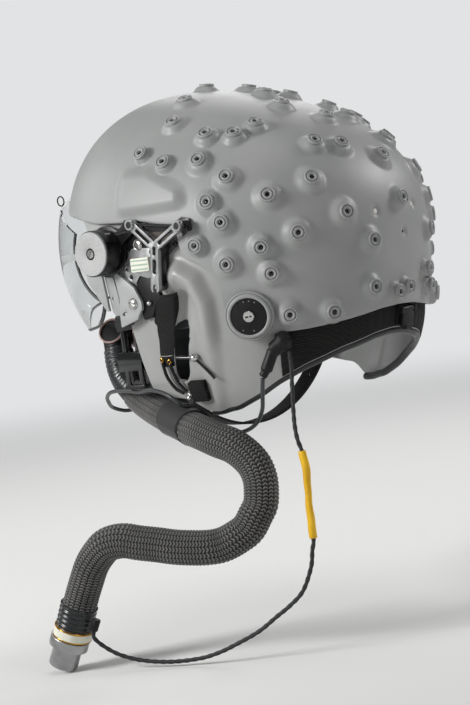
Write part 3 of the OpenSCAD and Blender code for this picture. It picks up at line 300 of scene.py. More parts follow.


# Knitted hose sleeve
# A tube of dark grey nylon, knitted in plain stitch, drawn over the hose so that it is held
# by its own grip. Its stitches lie in columns along the hose; the hollows are painted near black
# as shade and the crests paler as painted light.
sleeve_line = resampled(through(hose_points, 24), 0.0009)
sleeve_line = sleeve_line[reach_along(sleeve_line) > bare_until + 0.0005]
sleeve_r, wales, course = 0.0145, 18, 0.0027


def stitch(s, angles):
    """Height of the knit, 0 to 1: each wale is a column of V-shaped stitches."""
    u = angles / (2 * np.pi) * wales
    across = np.abs((u % 1) - 0.5) * 2
    vee = 0.5 + 0.5 * np.cos(2 * np.pi * (s / course - 0.55 * across))
    groove = 1 - np.clip((across - 0.66) / 0.34, 0, 1) ** 2
    spine = np.clip(across / 0.16, 0, 1)
    return (0.25 + 0.75 * vee) * groove * (0.55 + 0.45 * spine)


sleeve = swept("knitted_sleeve", sleeve_line, lambda s, a: sleeve_r - 0.0011 + 0.0014 * stitch(s, a), 126)
sleeve_knit = new_material("knitted_nylon_dark_grey")
# Nylon yarn: painted shade near black in the hollows and between the wales, paler crests as
# painted light, the crest tone varied at random by rubbing, and fuzzy.
tree = sleeve_knit.node_tree
lay = add_node(tree, "UVMap", uv_map="UVMap")
split = add_node(tree, "SeparateXYZ", {0: lay})
across = split
for operation, number in (("MULTIPLY", wales), ("FRACT", 0), ("SUBTRACT", 0.5), ("ABSOLUTE", 0)):
    across = add_node(tree, "Math", {0: across, 1: float(number)}, operation=operation)
rows = add_node(tree, "Math", {0: split.outputs[1], 1: 1 / course}, operation="MULTIPLY")
lean = add_node(tree, "Math", {0: across, 1: -1.1}, operation="MULTIPLY")
phase = add_node(tree, "Math", {0: rows, 1: lean}, operation="ADD")
wrap = add_node(tree, "Math", {0: phase, 1: 2 * math.pi}, operation="MULTIPLY")
wave = add_node(tree, "Math", {0: wrap}, operation="COSINE")
crest = add_node(tree, "MapRange", {"Value": wave, "From Min": -0.5, "From Max": 1.0})
edge = add_node(tree, "MapRange", {"Value": across, "From Min": 0.34, "From Max": 0.5,
    "To Min": 1.0, "To Max": 0.0})
thread = add_node(tree, "Math", {0: crest, 1: edge}, operation="MULTIPLY")
place = add_node(tree, "TexCoord").outputs["Object"]
rub = add_node(tree, "TexNoise", {"Vector": place, "Scale": 55.0, "Detail": 4.0})
worn = add_node(tree, "Mix", {0: rub, 6: linear("565554"), 7: linear("8c8a88")},
    data_type="RGBA")
# The yarn colour is painted shade near black where the stitch mask is low, and the crest tone where it is
# high.
yarn_with_painted_shade = add_node(tree, "Mix", {0: thread, 6: linear("141414"), 7: worn.outputs[2]},
    data_type="RGBA")
fuzz = add_node(tree, "TexNoise", {"Vector": place, "Scale": 2600.0, "Detail": 2.0})
lift = add_node(tree, "Math", {0: fuzz, 1: thread}, operation="ADD")
relief = add_node(tree, "Bump", {"Height": lift, "Strength": 0.6, "Distance": 0.0004})
skin = add_node(tree, "BsdfPrincipled", {"Base Color": yarn_with_painted_shade.outputs[2], "Roughness": 0.85,
    "Sheen Weight": 0.25, "Sheen Roughness": 0.5, "Normal": relief})
add_node(tree, "OutputMaterial", {"Surface": skin})
settle(sleeve, "mask", "knit", sleeve_knit, "hose_sleeve")


# Wrap on the hose
# A cuff of black bonded cloth wound round the sleeve, where the hose passes the jaw, and
# closed on itself. It shows as a smooth dark band with a lapped edge.
wrap_line = resampled(through(hose_points[6:9], 24), 0.0012)
wrap_line = wrap_line[4:-2]


def wrap_radius(s, angles):
    """The cloth's free end makes a step at one angle, and slow waves run round the band."""
    wrap_r, lap_at, lap_run, lap_t, wave_h = 0.0155, 3.6, 0.08, 0.0007, 0.00035
    lap = np.clip((angles - lap_at) / lap_run, 0, 1) * lap_t
    end = 1 - np.exp(-s / 0.001) * 0.5
    return wrap_r + lap + wave_h * np.sin(3 * angles + 90 * s) * end


wrap = swept("hose_wrap", wrap_line, wrap_radius, 72)
# Bonded cloth: nearly black, flat, with a very fine twill that only just breaks the shine.
wrap_cloth = solid_finish("bonded_cloth_black", "141414", "232323", 14, 0.45, 0.05, 0.72, Sheen_Weight=0.15)
settle(wrap, "mask", "webbing", wrap_cloth, "hose_band")


# Leads and their sleeve
# Two jacketed leads leave the plug under the ear. The thin one goes to the microphone in the
# mask, and the other, with a short yellow heat-shrunk sleeve, goes down to the hose's end.
mic_points = [[115, 97, -113.6], [115, 95, -124], [113, 92, -132], [111, 88, -141], [108, 78, -151],
    [103, 60, -158], [99, 38, -160], [98, 24, -154], [97, 14, -146], [100, 8, -138.5], [105, 5.5, -133.7],
    [110, 5.5, -132.9], [115, 6, -132.9], [120, 6, -131.5], [123.5, 5, -127.5], [125, -1, -123],
    [124, -12, -119], [121, -28, -117], [114, -47, -119], [109, -65, -118], [104, -83, -118],
    [97, -100, -120], [88, -114, -125], [78, -123, -131], [68, -130, -136], [58, -131, -140],
    [50, -129, -142], [43, -122, -141], [37, -114, -139]]
comms_points = [[102, 117.5, -94], [102.5, 118, -108], [106, 119, -126], [109, 120, -142], [111, 121, -155],
    [112, 123, -166], [111, 125, -175], [111, 127, -192], [113, 127, -219], [113, 127, -246],
    [114, 125, -256], [115, 122, -270], [117, 112, -289], [122, 101, -300], [126, 88, -309], [133, 73, -320],
    [141, 55, -329], [148, 38, -336], [155, 21, -340], [166, -3, -341], [176, -26, -338], [184, -42, -332],
    [190, -53, -324], [195, -58, -316], [195.6, -57.3, -310.3]]
mic_line = resampled(through(mic_points, 10), 0.0018)
comms_line = resampled(through(comms_points, 10), 0.0012)
# Lead jacket: smooth PVC, charcoal, with the low gloss of an extruded skin.
jacket = solid_finish("extruded_pvc_jacket", "2b2d2f", "3d4042", 6, 0.9, 0.01, 0.38)
mic_lead = swept("microphone_lead", mic_line, 0.00175, 20)
# Each lead leaves its socket on the helmet and goes to the mask; two points are given for its
# first stretch, but the lead is attached to neither body and stays baked in place.
settle(mic_lead, [(0.115, 0.096, -0.114), (0.115, -0.01, -0.118)], "lead_jacket", jacket,
    "mic_lead")


def twisted(s, angles):
    """Two cores laid together, so that the jacket is waisted and turns along the lead."""
    lead_r, waist, lay = 0.0019, 0.00035, 0.014
    return lead_r - waist * (0.5 - 0.5 * np.cos(2 * (angles - 2 * np.pi * s / lay)))


comms_lead = swept("radio_lead", comms_line, twisted, 24)
# Braid over a twisted pair: black, duller than the other lead.
braid = solid_finish("braided_lead_cover", "151617", "26282a", 4, 0.5, 0.05, 0.6)
settle(comms_lead, [(0.102, 0.1175, -0.098), (0.112, 0.124, -0.17)], "lead_jacket", braid,
    "comms_lead")
tag_line = resampled(through(comms_points[6:10], 12), 0.002)
tag = swept("yellow_sleeve", tag_line,
    lambda s, a: 0.0031 + 0.00025 * np.sin(2 * a + 120 * s) + 0.0002 * np.sin(310 * s + a), 28)
# Heat-shrunk polyolefin: strong yellow, waxy, creased by the lead inside it.
shrunk = solid_finish("heat_shrunk_polyolefin_yellow", "d8a406", "f2c21a", 12, 1.2, 0.05, 0.42)
settle(tag, "mask", "yellow_sleeve", shrunk, "lead_sleeve")


# Inner shell
# The load-bearing shell: laid-up fibre, 4 mm thick, filled, rubbed smooth and sprayed satin
# grey. A tube-shaped ridge arches over each ear, and the strap comes out of a slot in front.
half_width, front_reach, rear_reach, skirt, side_power = 139, 177, 162, 230, 2.25
crown_high, crown_slope, rear_square = 129, 25, 0.2
wall, inner_inset = 4, 7


def ease(t):
    u = np.clip(t, 0, 1)
    return u * u * (3 - 2 * u)


def direction(az, el):
    a, e = np.radians(az), np.radians(el)
    return np.stack([np.cos(e) * np.cos(a), np.cos(e) * np.sin(a), np.sin(e)], -1)


def plain_r(az, el):
    """Distance from the middle to the plain outer surface, in millimetres."""
    d = direction(az, el)
    reach = np.where(d[..., 1] < 0, front_reach, rear_reach)
    high = np.where(d[..., 2] > 0, crown_high - crown_slope * d[..., 1], skirt)
    n = 2 + rear_square * ease((d[..., 1] + 1) / 2)
    flat = ((np.abs(d[..., 0]) / half_width) ** n + (np.abs(d[..., 1]) / reach) ** n) ** (1 / n)
    return (flat ** side_power + (np.abs(d[..., 2]) / high) ** side_power) ** (-1 / side_power)


def fold(az):
    """The azimuth of a place, or of its mirror image on the left side."""
    return np.where(az > 90, 180 - az, az)


ridge_line = [[8, -11], [14, -8.5], [19.5, -12], [22.5, -19], [22.5, -30], [20, -48]]
ridge_high, ridge_half = 8.2, 5.4
hollow_line = [[14.6, -17.5], [11.5, -30.0]]
hollow_deep, hollow_half = 8, 3.8


def off_line(az, el, line):
    """Distance in degrees from a line over the left side, or from its mirror image."""
    p, gaps = np.stack([fold(az), el], -1), []
    for a, b in zip(np.array(line[:-1], float), np.array(line[1:], float)):
        t = np.clip(((p - a) @ (b - a)) / ((b - a) @ (b - a)), 0, 1)
        gaps.append(np.linalg.norm(p - a - t[..., None] * (b - a), axis=-1))
    return np.min(gaps, axis=0)


def ridge(az, el):
    """The tube-shaped ridge over the ear, in millimetres above the shell."""
    high = ridge_high * (1 - ease(off_line(az, el, ridge_line) / ridge_half))
    front, front_run, fade_from, fade_run, fade_share = 7, 6, -25, 10, 0.6
    fade = 1 - fade_share * ease((fade_from - el) / fade_run)
    return np.where(el < 0, high * ease((fold(az) - front) / front_run) * fade, 0)


def hollow(az, el):
    """The soft hollow that runs down into the strap slot, in millimetres below the shell."""
    return hollow_deep * (1 - ease(off_line(az, el, hollow_line) / hollow_half))


def inner_skin_r(az, el):
    return plain_r(az, el) - inner_inset + ridge(az, el) - hollow(az, el)


def normal_at(az, el, radius=plain_r):
    """The way straight out of a surface, from points a small step apart on it."""
    step = 0.4
    point = lambda a, e: direction(a, e) * np.asarray(radius(a, e))[..., None]
    n = np.cross(point(az + step, el) - point(az - step, el),
        point(az, el + step) - point(az, el - step))
    return n / np.linalg.norm(n, axis=-1, keepdims=True)


def edge_columns(edge, spacing, soften):
    """Azimuth and elevation along a shell's whole lower edge, with its corners rounded."""
    e = np.array(edge, float)
    e = np.concatenate([e, [[180 - a, b] for a, b in e[::-1][1:]]])[:-1]
    fine, fine_step = [], 0.15
    for (a, b), (c, d) in zip(e, np.concatenate([e[1:], [[270, e[0][1]]]])):
        steps = max(2, int(np.hypot(c - a, d - b) / fine_step))
        fine += [(a + (c - a) * k / steps, b + (d - b) * k / steps) for k in range(steps)]
    fine = np.array(fine)
    around = np.concatenate([fine - [360, 0], fine, fine + [360, 0]])
    width = int(soften / fine_step)
    kernel = np.exp(-0.5 * (np.arange(-3 * width, 3 * width + 1) / width) ** 2)
    kernel /= kernel.sum()
    soft = np.stack([np.convolve(around[:, k], kernel, "same") for k in (0, 1)], 1)
    soft = soft[len(fine):2 * len(fine)]
    points = direction(*soft.T) * plain_r(*soft.T)[:, None]
    reach = reach_along(np.concatenate([points, points[:1]]))
    along = np.linspace(0, reach[-1], int(reach[-1] / spacing) + 1)[:-1]
    closed = np.concatenate([soft, [soft[0] + [360, 0]]])
    return np.stack([np.interp(along, reach, closed[:, k]) for k in (0, 1)], 1)


def crowned(columns, rows):
    """A shell of rings of points from the crown down, each row a function of the columns."""
    rings = [row(columns) for row in rows]
    n = len(columns)
    points = np.concatenate([[rings[0].mean(0)]] + rings + [[rings[-1].mean(0)]])
    faces = [(0, 1 + (j + 1) % n, 1 + j)[::-1] for j in range(n)]
    for i in range(len(rings) - 1):
        a = 1 + i * n
        for j in range(n):
            k = (j + 1) % n
            faces.append((a + j, a + n + j, a + n + k, a + k))
    last = 1 + (len(rings) - 1) * n
    end = len(points) - 1
    faces += [(end, last + j, last + (j + 1) % n)[::-1] for j in range(n)]
    return points, faces


def row_at(t, radius):
    """A ring at share t of the way from the crown to the edge, on a surface of that radius."""
    def row(columns):
        az, el = columns[:, 0], 90 - t * (90 - columns[:, 1])
        return direction(az, el) * radius(az, el)[:, None] * MM
    return row


inner_edge = [[-90, 24], [-60, 20], [-42, 15], [-34, 8], [-28, -2], [-23, -10], [-19, -15], [-16, -19],
    [-14, -26], [-13, -45], [-10, -46], [-4, -47], [0, -47.6], [4, -47.8], [7.5, -48.6], [11, -50],
    [15, -51.5], [28.5, -49.5], [38, -46], [46, -42], [56, -38], [68, -34.5], [82, -32], [90, -31.5]]
inner_columns = edge_columns(inner_edge, 2.1, 1.2)
top_rows = [row_at(t, inner_skin_r) for t in np.linspace(0.02, 0.6, 12)]
low_rows = [row_at(t, inner_skin_r) for t in np.linspace(0.605, 1, 76)]
points, faces = crowned(inner_columns, top_rows + low_rows)
points, faces = points[:-1], [f for f in faces if len(points) - 1 not in f]
inner = piece_from("inner_shell_skin", points, faces)
slot_middle, slot_half = np.array([8.2, -34.4]), np.array([4.2, 8.6])
slot_round, slot_lean, nudge = 3.2, 0.3, 1e-4
bm = bmesh.new()
bm.from_mesh(inner.data)


def slot_gap(v):
    """Distance outside the rounded slot, in degrees, for one side or the other."""
    az = math.degrees(math.atan2(v.y, v.x))
    az = fold(az if az > -90 else az + 360)
    el = math.degrees(math.asin(v.z / v.length))
    az -= slot_lean * (el - slot_middle[1])
    q = np.abs(np.array([az, el]) - slot_middle) - slot_half + slot_round
    return float(np.linalg.norm(np.maximum(q, 0)) + min(max(q[0], q[1]), 0) - slot_round)


cut = [f for f in bm.faces if slot_gap(f.calc_center_median()) < 0]
bmesh.ops.delete(bm, geom=cut, context="FACES")
for v in [v for v in bm.verts if v.is_boundary and abs(slot_gap(v.co)) < 1.5]:
    for _ in range(3):
        g, length = slot_gap(v.co), v.co.length
        sx = (slot_gap(v.co + Vector((0, nudge, 0))) - g) / nudge
        sz = (slot_gap(v.co + Vector((0, 0, nudge))) - g) / nudge
        v.co -= Vector((0, sx, sz)) * (g / max(sx * sx + sz * sz, 1e-9))
        v.co = v.co.normalized() * length
bm.to_mesh(inner.data)
bm.free()


def alone(piece):
    bpy.ops.object.select_all(action="DESELECT")
    piece.select_set(True)
    bpy.context.view_layer.objects.active = piece


def shaped(piece, kind, **settings):
    """Adds a modifier with its settings and applies it."""
    alone(piece)
    modifier = piece.modifiers.new(kind.lower(), kind)
    for name, value in settings.items():
        setattr(modifier, name, value)
    bpy.ops.object.modifier_apply(modifier=modifier.name)
    return piece


def smoothed(piece, degrees):
    """Shades smoothly, but for edges sharper than the angle."""
    alone(piece)
    bpy.ops.object.shade_smooth_by_angle(angle=math.radians(degrees))
    return piece


smoothed(shaped(inner, "SOLIDIFY", thickness=wall * MM, offset=-1, use_even_offset=False), 50)
# Satin polyurethane paint over filled laminate: even, pale, with a soft broad shine.
inner_paint = solid_finish("satin_paint_on_laminate", "989997", "9fa09e", 60, 0.5, 0.012, 0.36)
settle(inner, "helmet", "inner_paint", inner_paint, "inner_shell")


# Outer shell
# A second laid-up shell over the first, 4 mm thick, sprayed matte grey. The soft mounds for
# the emitters and the blister at each side of the brow are moulded in one with it.
outer_edge = [[-90, 18], [-60, 15.6], [-51, 14.7], [-40, 14], [-30, 12.6], [-22, 11.7], [-7, 11.2],
    [-2.5, 11.8], [4, 10.4], [11, 8.9], [16.8, 7.9], [18, -2.5], [20.5, -4.3], [24.5, -6.2],
    [28, -9.4], [30.3, -14.5], [30.8, -20.5], [32, -24.8], [34.5, -27.6], [38, -29.3], [42, -28.8],
    [46, -28], [56, -27.3], [68, -26], [82, -24.3], [90, -24]]
side_emitters = [[-1, 34.4, 5.7], [1, 64, 10], [12, 29.6, 6.9], [9, 48, 10], [27, 28, 10.5], [29, 39, 9.5],
    [41, 37, 9], [51, 41, 9], [37, 20, 11], [30, 13, 9], [34, 6, 10], [24.5, 0, 7], [34, -7, 10.5],
    [49, 12, 11], [45, -3, 9.5], [47, -11, 9.5], [56, 0, 11], [63, 15, 11], [51, -23, 9], [64, -23.3, 9]]
rear_emitters = [[70, 28, 9.5], [71, 4, 11], [77, 56, 11], [80, 26, 11], [78, -18, 8.5], [79, -5, 10],
    [88, -20.5, 5.6], [93, -19.5, 5.6], [91, 42, 11], [95, 20, 11], [94, 6, 8], [100, 74, 11],
    [111, 27, 11], [112, 42, 11], [106, -15.5, 5.7], [107.5, -20.5, 5.7], [111, -4, 10], [120, 6, 8.5],
    [-89, 79, 10], [173, 80, 12], [122, 28, 10], [138, 66, 10], [128, 51, 9]]
mirrored_emitters = [[180 - az, el, wide] for az, el, wide in side_emitters]
emitters = np.array(side_emitters + mirrored_emitters + rear_emitters, float)
emitter_feet = direction(*emitters.T[:2]) * plain_r(*emitters.T[:2])[:, None]
flush_places = [[82.9, 3.1], [102.1, 4.0]]
drain_place = [94.7, -3.9]
pits = [(direction(*place) * plain_r(*place), wide, deep) for place, wide, deep in
    ((flush_places[0], 5.8, 2.2), (flush_places[1], 5.8, 2.2), (drain_place, 4.6, 1.8))]
mound_top, mound_h = 6.0, 5.1


def blister(az, el):
    """The raised panel at each side of the brow, in millimetres above the shell."""
    a, blister_h = fold(az), 4.6
    front, rear, low, high, slopes_from, slope = -12, 22.5, 12, 31, 4, 0.55
    top = high - slope * np.maximum(0, a - slopes_from)
    wide = ease((a - front) / 6) * ease((rear - a) / 5.5)
    return blister_h * wide * ease((el - low) / 4) * ease((top - el) / 6)


def outer_skin_r(az, el):
    """The plain surface with its bell-shaped mounds, which run into each other where they meet."""
    r = plain_r(az, el)
    p = direction(az, el) * r[..., None]
    rise = np.zeros(np.shape(el))
    narrow, spread, narrow_spread, melt, most_over, pit_floor = 6.5, 3.4, 2.6, 0.5, 0.5, 2
    for foot, (_, _, wide) in zip(emitter_feet, emitters):
        d = np.linalg.norm(p - foot, axis=-1)
        outer = wide + (spread if wide > narrow else narrow_spread)
        t = np.clip((d - mound_top) / (outer - mound_top), 0, 1)
        bump = mound_h * (1 - ease(t))
        rise = np.sqrt(rise ** 2 + bump ** 2 + melt * rise * bump)
    rise = np.minimum(rise, mound_h + most_over)
    for foot, wide, deep in pits:
        out = (np.linalg.norm(p - foot, axis=-1) - pit_floor) / (wide - pit_floor)
        rise = rise - deep * (1 - ease(out))
    return r + rise + blister(az, el)


mm_per_degree = 2.6


def rim_row(share, depth):
    """A ring of the rounded edge: share of the wall passed, and how far below the edge."""
    def row(columns):
        az, el = columns[:, 0], columns[:, 1] - depth / mm_per_degree
        return direction(az, el) * (plain_r(az, el) + blister(az, el) - wall * share)[:, None] * MM
    return row


outer_columns = edge_columns(outer_edge, 1.75, 1.0)
outside = [row_at(t, outer_skin_r) for t in np.concatenate([[0.012], np.linspace(0.03, 1, 142)])]
rim = [rim_row(share, depth) for share, depth in
    ((0.06, 0.35), (0.22, 0.75), (0.5, 0.95), (0.78, 0.75), (0.94, 0.35))]
inside = [row_at(t, lambda a, e: plain_r(a, e) - wall) for t in (1, 0.93, 0.8, 0.6, 0.35, 0.08)]
points, faces = crowned(outer_columns, outside + rim + inside)
outer = smoothed(piece_from("outer_shell_skin", points, faces), 60)
# Matte sprayed paint: a fine even orange peel, faint handling marks, no gloss.
outer_paint = solid_finish("matte_sprayed_paint_grey", "8f9190", "979897", 45, 0.42, 0.016, 0.46, 0.05)
settle(outer, "helmet", "shell_paint", outer_paint, "outer_shell")


# Emitter collars and windows
# Each mound carries a turned collar bonded into it, painted with the shell. Down its bore sits
# a dark domed window. One collar and one window are turned and copied to every place.
def stand(az, el, drop=0, radius=plain_r):
    """The frame of one place on a shell: its Z axis looks straight out."""
    az, el = np.float64(az), np.float64(el)
    n = Vector(normal_at(az, el, radius))
    foot = Vector(direction(az, el) * float(radius(az, el)))
    tilt = math.acos(max(-1, min(1, n.z)))
    spin = math.atan2(n.y, n.x)
    return (Matrix.Translation((foot - n * drop) * MM) @ Matrix.Rotation(spin, 4, "Z")
        @ Matrix.Rotation(tilt, 4, "Y"))


def start_edit():
    bpy.ops.object.mode_set(mode="EDIT")
    bpy.ops.mesh.select_all(action="SELECT")


def end_edit():
    """Turns every face of the mesh outwards and leaves edit mode."""
    bpy.ops.mesh.select_all(action="SELECT")
    bpy.ops.mesh.normals_make_consistent(inside=False)
    bpy.ops.object.mode_set(mode="OBJECT")


def turned(rings, sides):
    """A turned solid: a disc is drawn up, ring by ring, each given as radius and height in mm."""
    r0, z0 = rings[0]
    piece = disc("pattern", sides, r0 * MM, z0 * MM)
    bpy.ops.object.transform_apply(location=True, rotation=True, scale=True)
    start_edit()
    for r, z in rings[1:]:
        bpy.ops.mesh.extrude_region_move(TRANSFORM_OT_translate={"value": (0, 0, (z - z0) * MM)})
        if abs(r - r0) > 1e-9:
            bpy.ops.transform.resize(value=(r / r0, r / r0, 1), center_override=(0, 0, z * MM))
        r0, z0 = r, z
    end_edit()
    return smoothed(piece, 40)


def copies(pattern, name, places):
    """One mesh with a copy of the pattern at each place; the pattern is removed."""
    bm = bmesh.new()
    for place in places:
        data = pattern.data.copy()
        data.transform(place)
        bm.from_mesh(data)
        bpy.data.meshes.remove(data)
    data = bpy.data.meshes.new(name)
    bm.to_mesh(data)
    bm.free()
    made = bpy.data.objects.new(name, data)
    scene.collection.objects.link(made)
    bpy.data.objects.remove(pattern)
    return smoothed(made, 40)


def slotted(piece, length, width, top, depth):
    """Cuts a screwdriver slot across the top of a turned piece, in mm."""
    cutter_h = 4
    bpy.ops.object.select_all(action="DESELECT")
    bpy.ops.mesh.primitive_cube_add(size=1, location=(0, 0, (top - depth + cutter_h / 2) * MM))
    cutter = bpy.context.object
    cutter.scale = (length * MM, width * MM, cutter_h * MM)
    bpy.context.view_layer.update()
    shaped(piece, "BOOLEAN", operation="DIFFERENCE", object=cutter, solver="EXACT")
    bpy.data.objects.remove(cutter)
    return piece


def fitted(name, sides, rings, places, slot_name, material, *nodes, body="helmet", slot=None):
    """A turned part, slotted if need be, copied to its places and given its finish."""
    pattern = turned(rings, sides)
    if slot:
        slotted(pattern, *slot)
    settle(copies(pattern, name, places), body, slot_name, material, *nodes)


places = [stand(az, el) for az, el, _ in emitters]
fitted("emitter_collars", 40, [(6.3, 3.2), (6.55, 5.0), (6.6, 5.9), (6.4, 6.5), (5.95, 6.85),
    (5.45, 6.85), (5.05, 6.5), (4.85, 5.9), (4.5, 5.75), (4.3, 6.3), (4.0, 6.8), (3.5, 7.0),
    (2.9, 6.9), (2.4, 6.5), (2.1, 5.8), (2.05, 4.4)], places, "shell_paint", outer_paint,
    "emitter_housings")
# Infrared-pass glass: black to the eye, with a hard point of light in each dome.
window_glass = solid_finish("infrared_pass_glass", "060606", "0b0b0c", 3, 1.0, 0.0, 0.12, 0.02)
fitted("emitter_windows", 24, [(1.95, 4.5), (1.95, 4.8), (1.75, 5.15), (1.2, 5.45), (0.45, 5.55)],
    places, "window_glass", window_glass, "emitter_lenses")
# Two flush windows at the rear that look pale, set level with the paint.
pale_glass = solid_finish("diffuser_glass_pale", "d8d6ce", "e4e2da", 4, 0.8, 0.0, 0.2, 0.02,
    Coat_Weight=0.4)
fitted("flush_windows", 32, [(2.3, -3.2), (2.4, -1.7), (2.1, -1.3), (1.5, -1.0), (0.6, -0.9)],
    [stand(*place) for place in flush_places], "window_glass", pale_glass)
# The drain hole is a black disc of the window glass finish at the bottom of its pit: painted shade for the
# dark inside the hole.
fitted("drain_hole_shade_disc", 20, [(1.2, -2.8), (1.2, -1.7)], [stand(*drain_place)], "window_glass",
    window_glass)


# Side mechanism
# On each side a black hub plate carries the visor's knob, with a silver plate, a pale clip
# block and the mask's receiver screwed beside it. Edges are broken 0.2 to 0.4 mm all round.
def merged(node, name):
    """A copy of a solid's mesh with its doubles merged."""
    piece = bpy.data.objects.new(name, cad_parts[node].data.copy())
    scene.collection.objects.link(piece)
    alone(piece)
    start_edit()
    merge_mm, flat_degrees = 0.015, 0.6
    bpy.ops.mesh.remove_doubles(threshold=merge_mm * MM)
    bpy.ops.mesh.dissolve_limited(angle_limit=math.radians(flat_degrees))
    bpy.ops.object.mode_set(mode="OBJECT")
    return piece


def bevelled(piece, width_mm, segments, angle):
    return shaped(piece, "BEVEL", width=width_mm * MM, segments=segments, limit_method="ANGLE",
        angle_limit=math.radians(angle))


def eased(node, body, slot_name, material, width_mm=0.3, segments=2):
    """A copy of a solid with its sharp edges broken by a bevel, in place of the solid."""
    piece = smoothed(bevelled(merged(node, node + "_part"), width_mm, segments, 32), 35)
    return settle(piece, body, slot_name, material, node)


def rounded(outline, r):
    """The outline with each corner turned into a short curve, anticlockwise."""
    most, corner_points = 0.45, 5
    p = np.array(outline, float)
    q = np.roll(p, -1, 0)
    if (p[:, 0] * q[:, 1] - q[:, 0] * p[:, 1]).sum() < 0:
        p = p[::-1]
    line = []
    for a, b, c in zip(np.roll(p, 1, 0), p, np.roll(p, -1, 0)):
        back, on = np.linalg.norm(a - b), np.linalg.norm(c - b)
        reach = min(r, most * back, most * on)
        start, end = b + reach * (a - b) / back, b + reach * (c - b) / on
        line += [(1 - t) ** 2 * start + 2 * t * (1 - t) * b + t * t * end
            for t in np.linspace(0, 1, corner_points)]
    return line


def plate(name, outline, x0, x1, cuts=(), round_mm=1.5, edge_mm=0.25):
    """Sheet that faces sideways: its outline in Y and Z, its faces at x0 and x1, in mm."""
    line = rounded(outline, round_mm)
    piece = disc(name, len(line), 0.01)
    for v, (y, z) in zip(piece.data.vertices, line):
        v.co = Vector((x0, y, z)) * MM
    start_edit()
    bpy.ops.mesh.extrude_region_move(TRANSFORM_OT_translate={"value": ((x1 - x0) * MM, 0, 0)})
    end_edit()
    for cut in cuts:
        tool = plate("cutter", cut, x0 - 2, x1 + 2, round_mm=0.01 if len(cut) > 8 else 1.2, edge_mm=0)
        shaped(piece, "BOOLEAN", operation="DIFFERENCE", object=tool, solver="EXACT")
        bpy.data.objects.remove(tool)
    return smoothed(bevelled(piece, edge_mm, 2, 40) if edge_mm else piece, 35)


def hole(y, z, r):
    turns = [k * math.pi / 10 for k in range(20)]
    return [(y + r * math.cos(turn), z + r * math.sin(turn)) for turn in turns]


def on_both_sides(piece):
    return shaped(piece, "MIRROR", use_mirror_merge=False)


def pair(piece, slot_name, material, *nodes):
    """Mirrors a piece of the helmet to its other side and gives it its finish."""
    settle(on_both_sides(piece), "helmet", slot_name, material, *nodes)


def side_places(x, y, z, turn=0, sides=(1, -1)):
    """A place on each side of the helmet that looks straight out along X, in mm."""
    return [Matrix.Translation(Vector((s * x, y, z)) * MM) @ Matrix.Rotation(s * math.pi / 2, 4, "Y")
        @ Matrix.Rotation(math.radians(turn), 4, "Z") for s in sides]


# Hard-anodised aluminium: black with a dull graphite sheen.
anodised_black = solid_finish("hard_anodised_aluminium_black", "0a0a0b", "121213", 12, 0.5, 0.01, 0.34)
# Moulded nylon: black, even, low sheen with a fine spark-eroded grain.
nylon_black = solid_finish("moulded_nylon_black", "0a0a0a", "131313", 10, 0.55, 0.03, 0.5,
    Specular_IOR_Level=0.3)
# Lacquered steel rail: black and glossy, so that it carries sharp bright lines.
lacquer_black = solid_finish("lacquered_steel_black", "0c0d0e", "131415", 10, 0.6, 0.005, 0.16, 0.04,
    Coat_Weight=0.6)
# Machined aluminium, bead-blasted and satin etched: bright grey with a soft shine.
satin_alloy = solid_finish("bead_blasted_aluminium", "a0a1a1", "b4b5b5", 9, 0.35, 0.01, 0.32, 0.06,
    Metallic=0.85)
# Sprayed satin grey over aluminium: pale, even.
grey_paint = solid_finish("satin_paint_on_aluminium", "9a9c9c", "a6a8a8", 18, 0.5, 0.01, 0.42)
# Stainless steel screws: bright, finely turned.
steel = solid_finish("turned_stainless_steel", "b3b3b1", "c9c9c7", 3, 0.3, 0.01, 0.24, 0.05,
    Metallic=0.9)
# Moulded acetal: ivory white, waxy.
acetal = solid_finish("moulded_acetal_ivory", "dedccb", "ebe9da", 8, 0.6, 0.01, 0.35,
    Subsurface_Weight=0.05)
# Dyed acetal: grey-green, for the inlaid bars.
acetal_green = solid_finish("moulded_acetal_grey_green", "8fa89b", "9db5a8", 8, 0.6, 0.01, 0.35)
# Knob face: pale grey epoxy paint over a blasted disc, speckled by use.
face_paint = solid_finish("epoxy_paint_speckled", "959695", "bcbdbc", 0.8, 0.4, 0.03, 0.55)

plate_x, plate_t, bar_x = 132.3, 2.5, 134.9
pivot = (-42, 4)
pair(plate("side_plate_silver", [(-30, -14), (-19, -4), (-13, 4), (12, 3), (13, -19), (3, -22),
    (-7, -19), (-13, -26), (-22, -22)], plate_x, plate_x + plate_t, [hole(*pivot, 22.5),
    hole(-21, -12.5, 1.3), hole(-17, -19.5, 2.1), hole(-19.5, -8.5, 0.8)]),
    "satin_metal", satin_alloy, "side_plates")
pair(plate("latch_backing", [(-14, 24), (-4, 28), (3, 27), (21, 10), (48, 25), (56.5, 23),
    (57.5, 16), (50, 10), (27, -5), (23, -28), (20, -33), (13.5, -34), (12.6, -3), (-12.6, -1),
    (-20, 4), (-21, 16)], plate_x, plate_x + 1.8, [hole(*pivot, 22.5)]), "black_plastic", anodised_black)
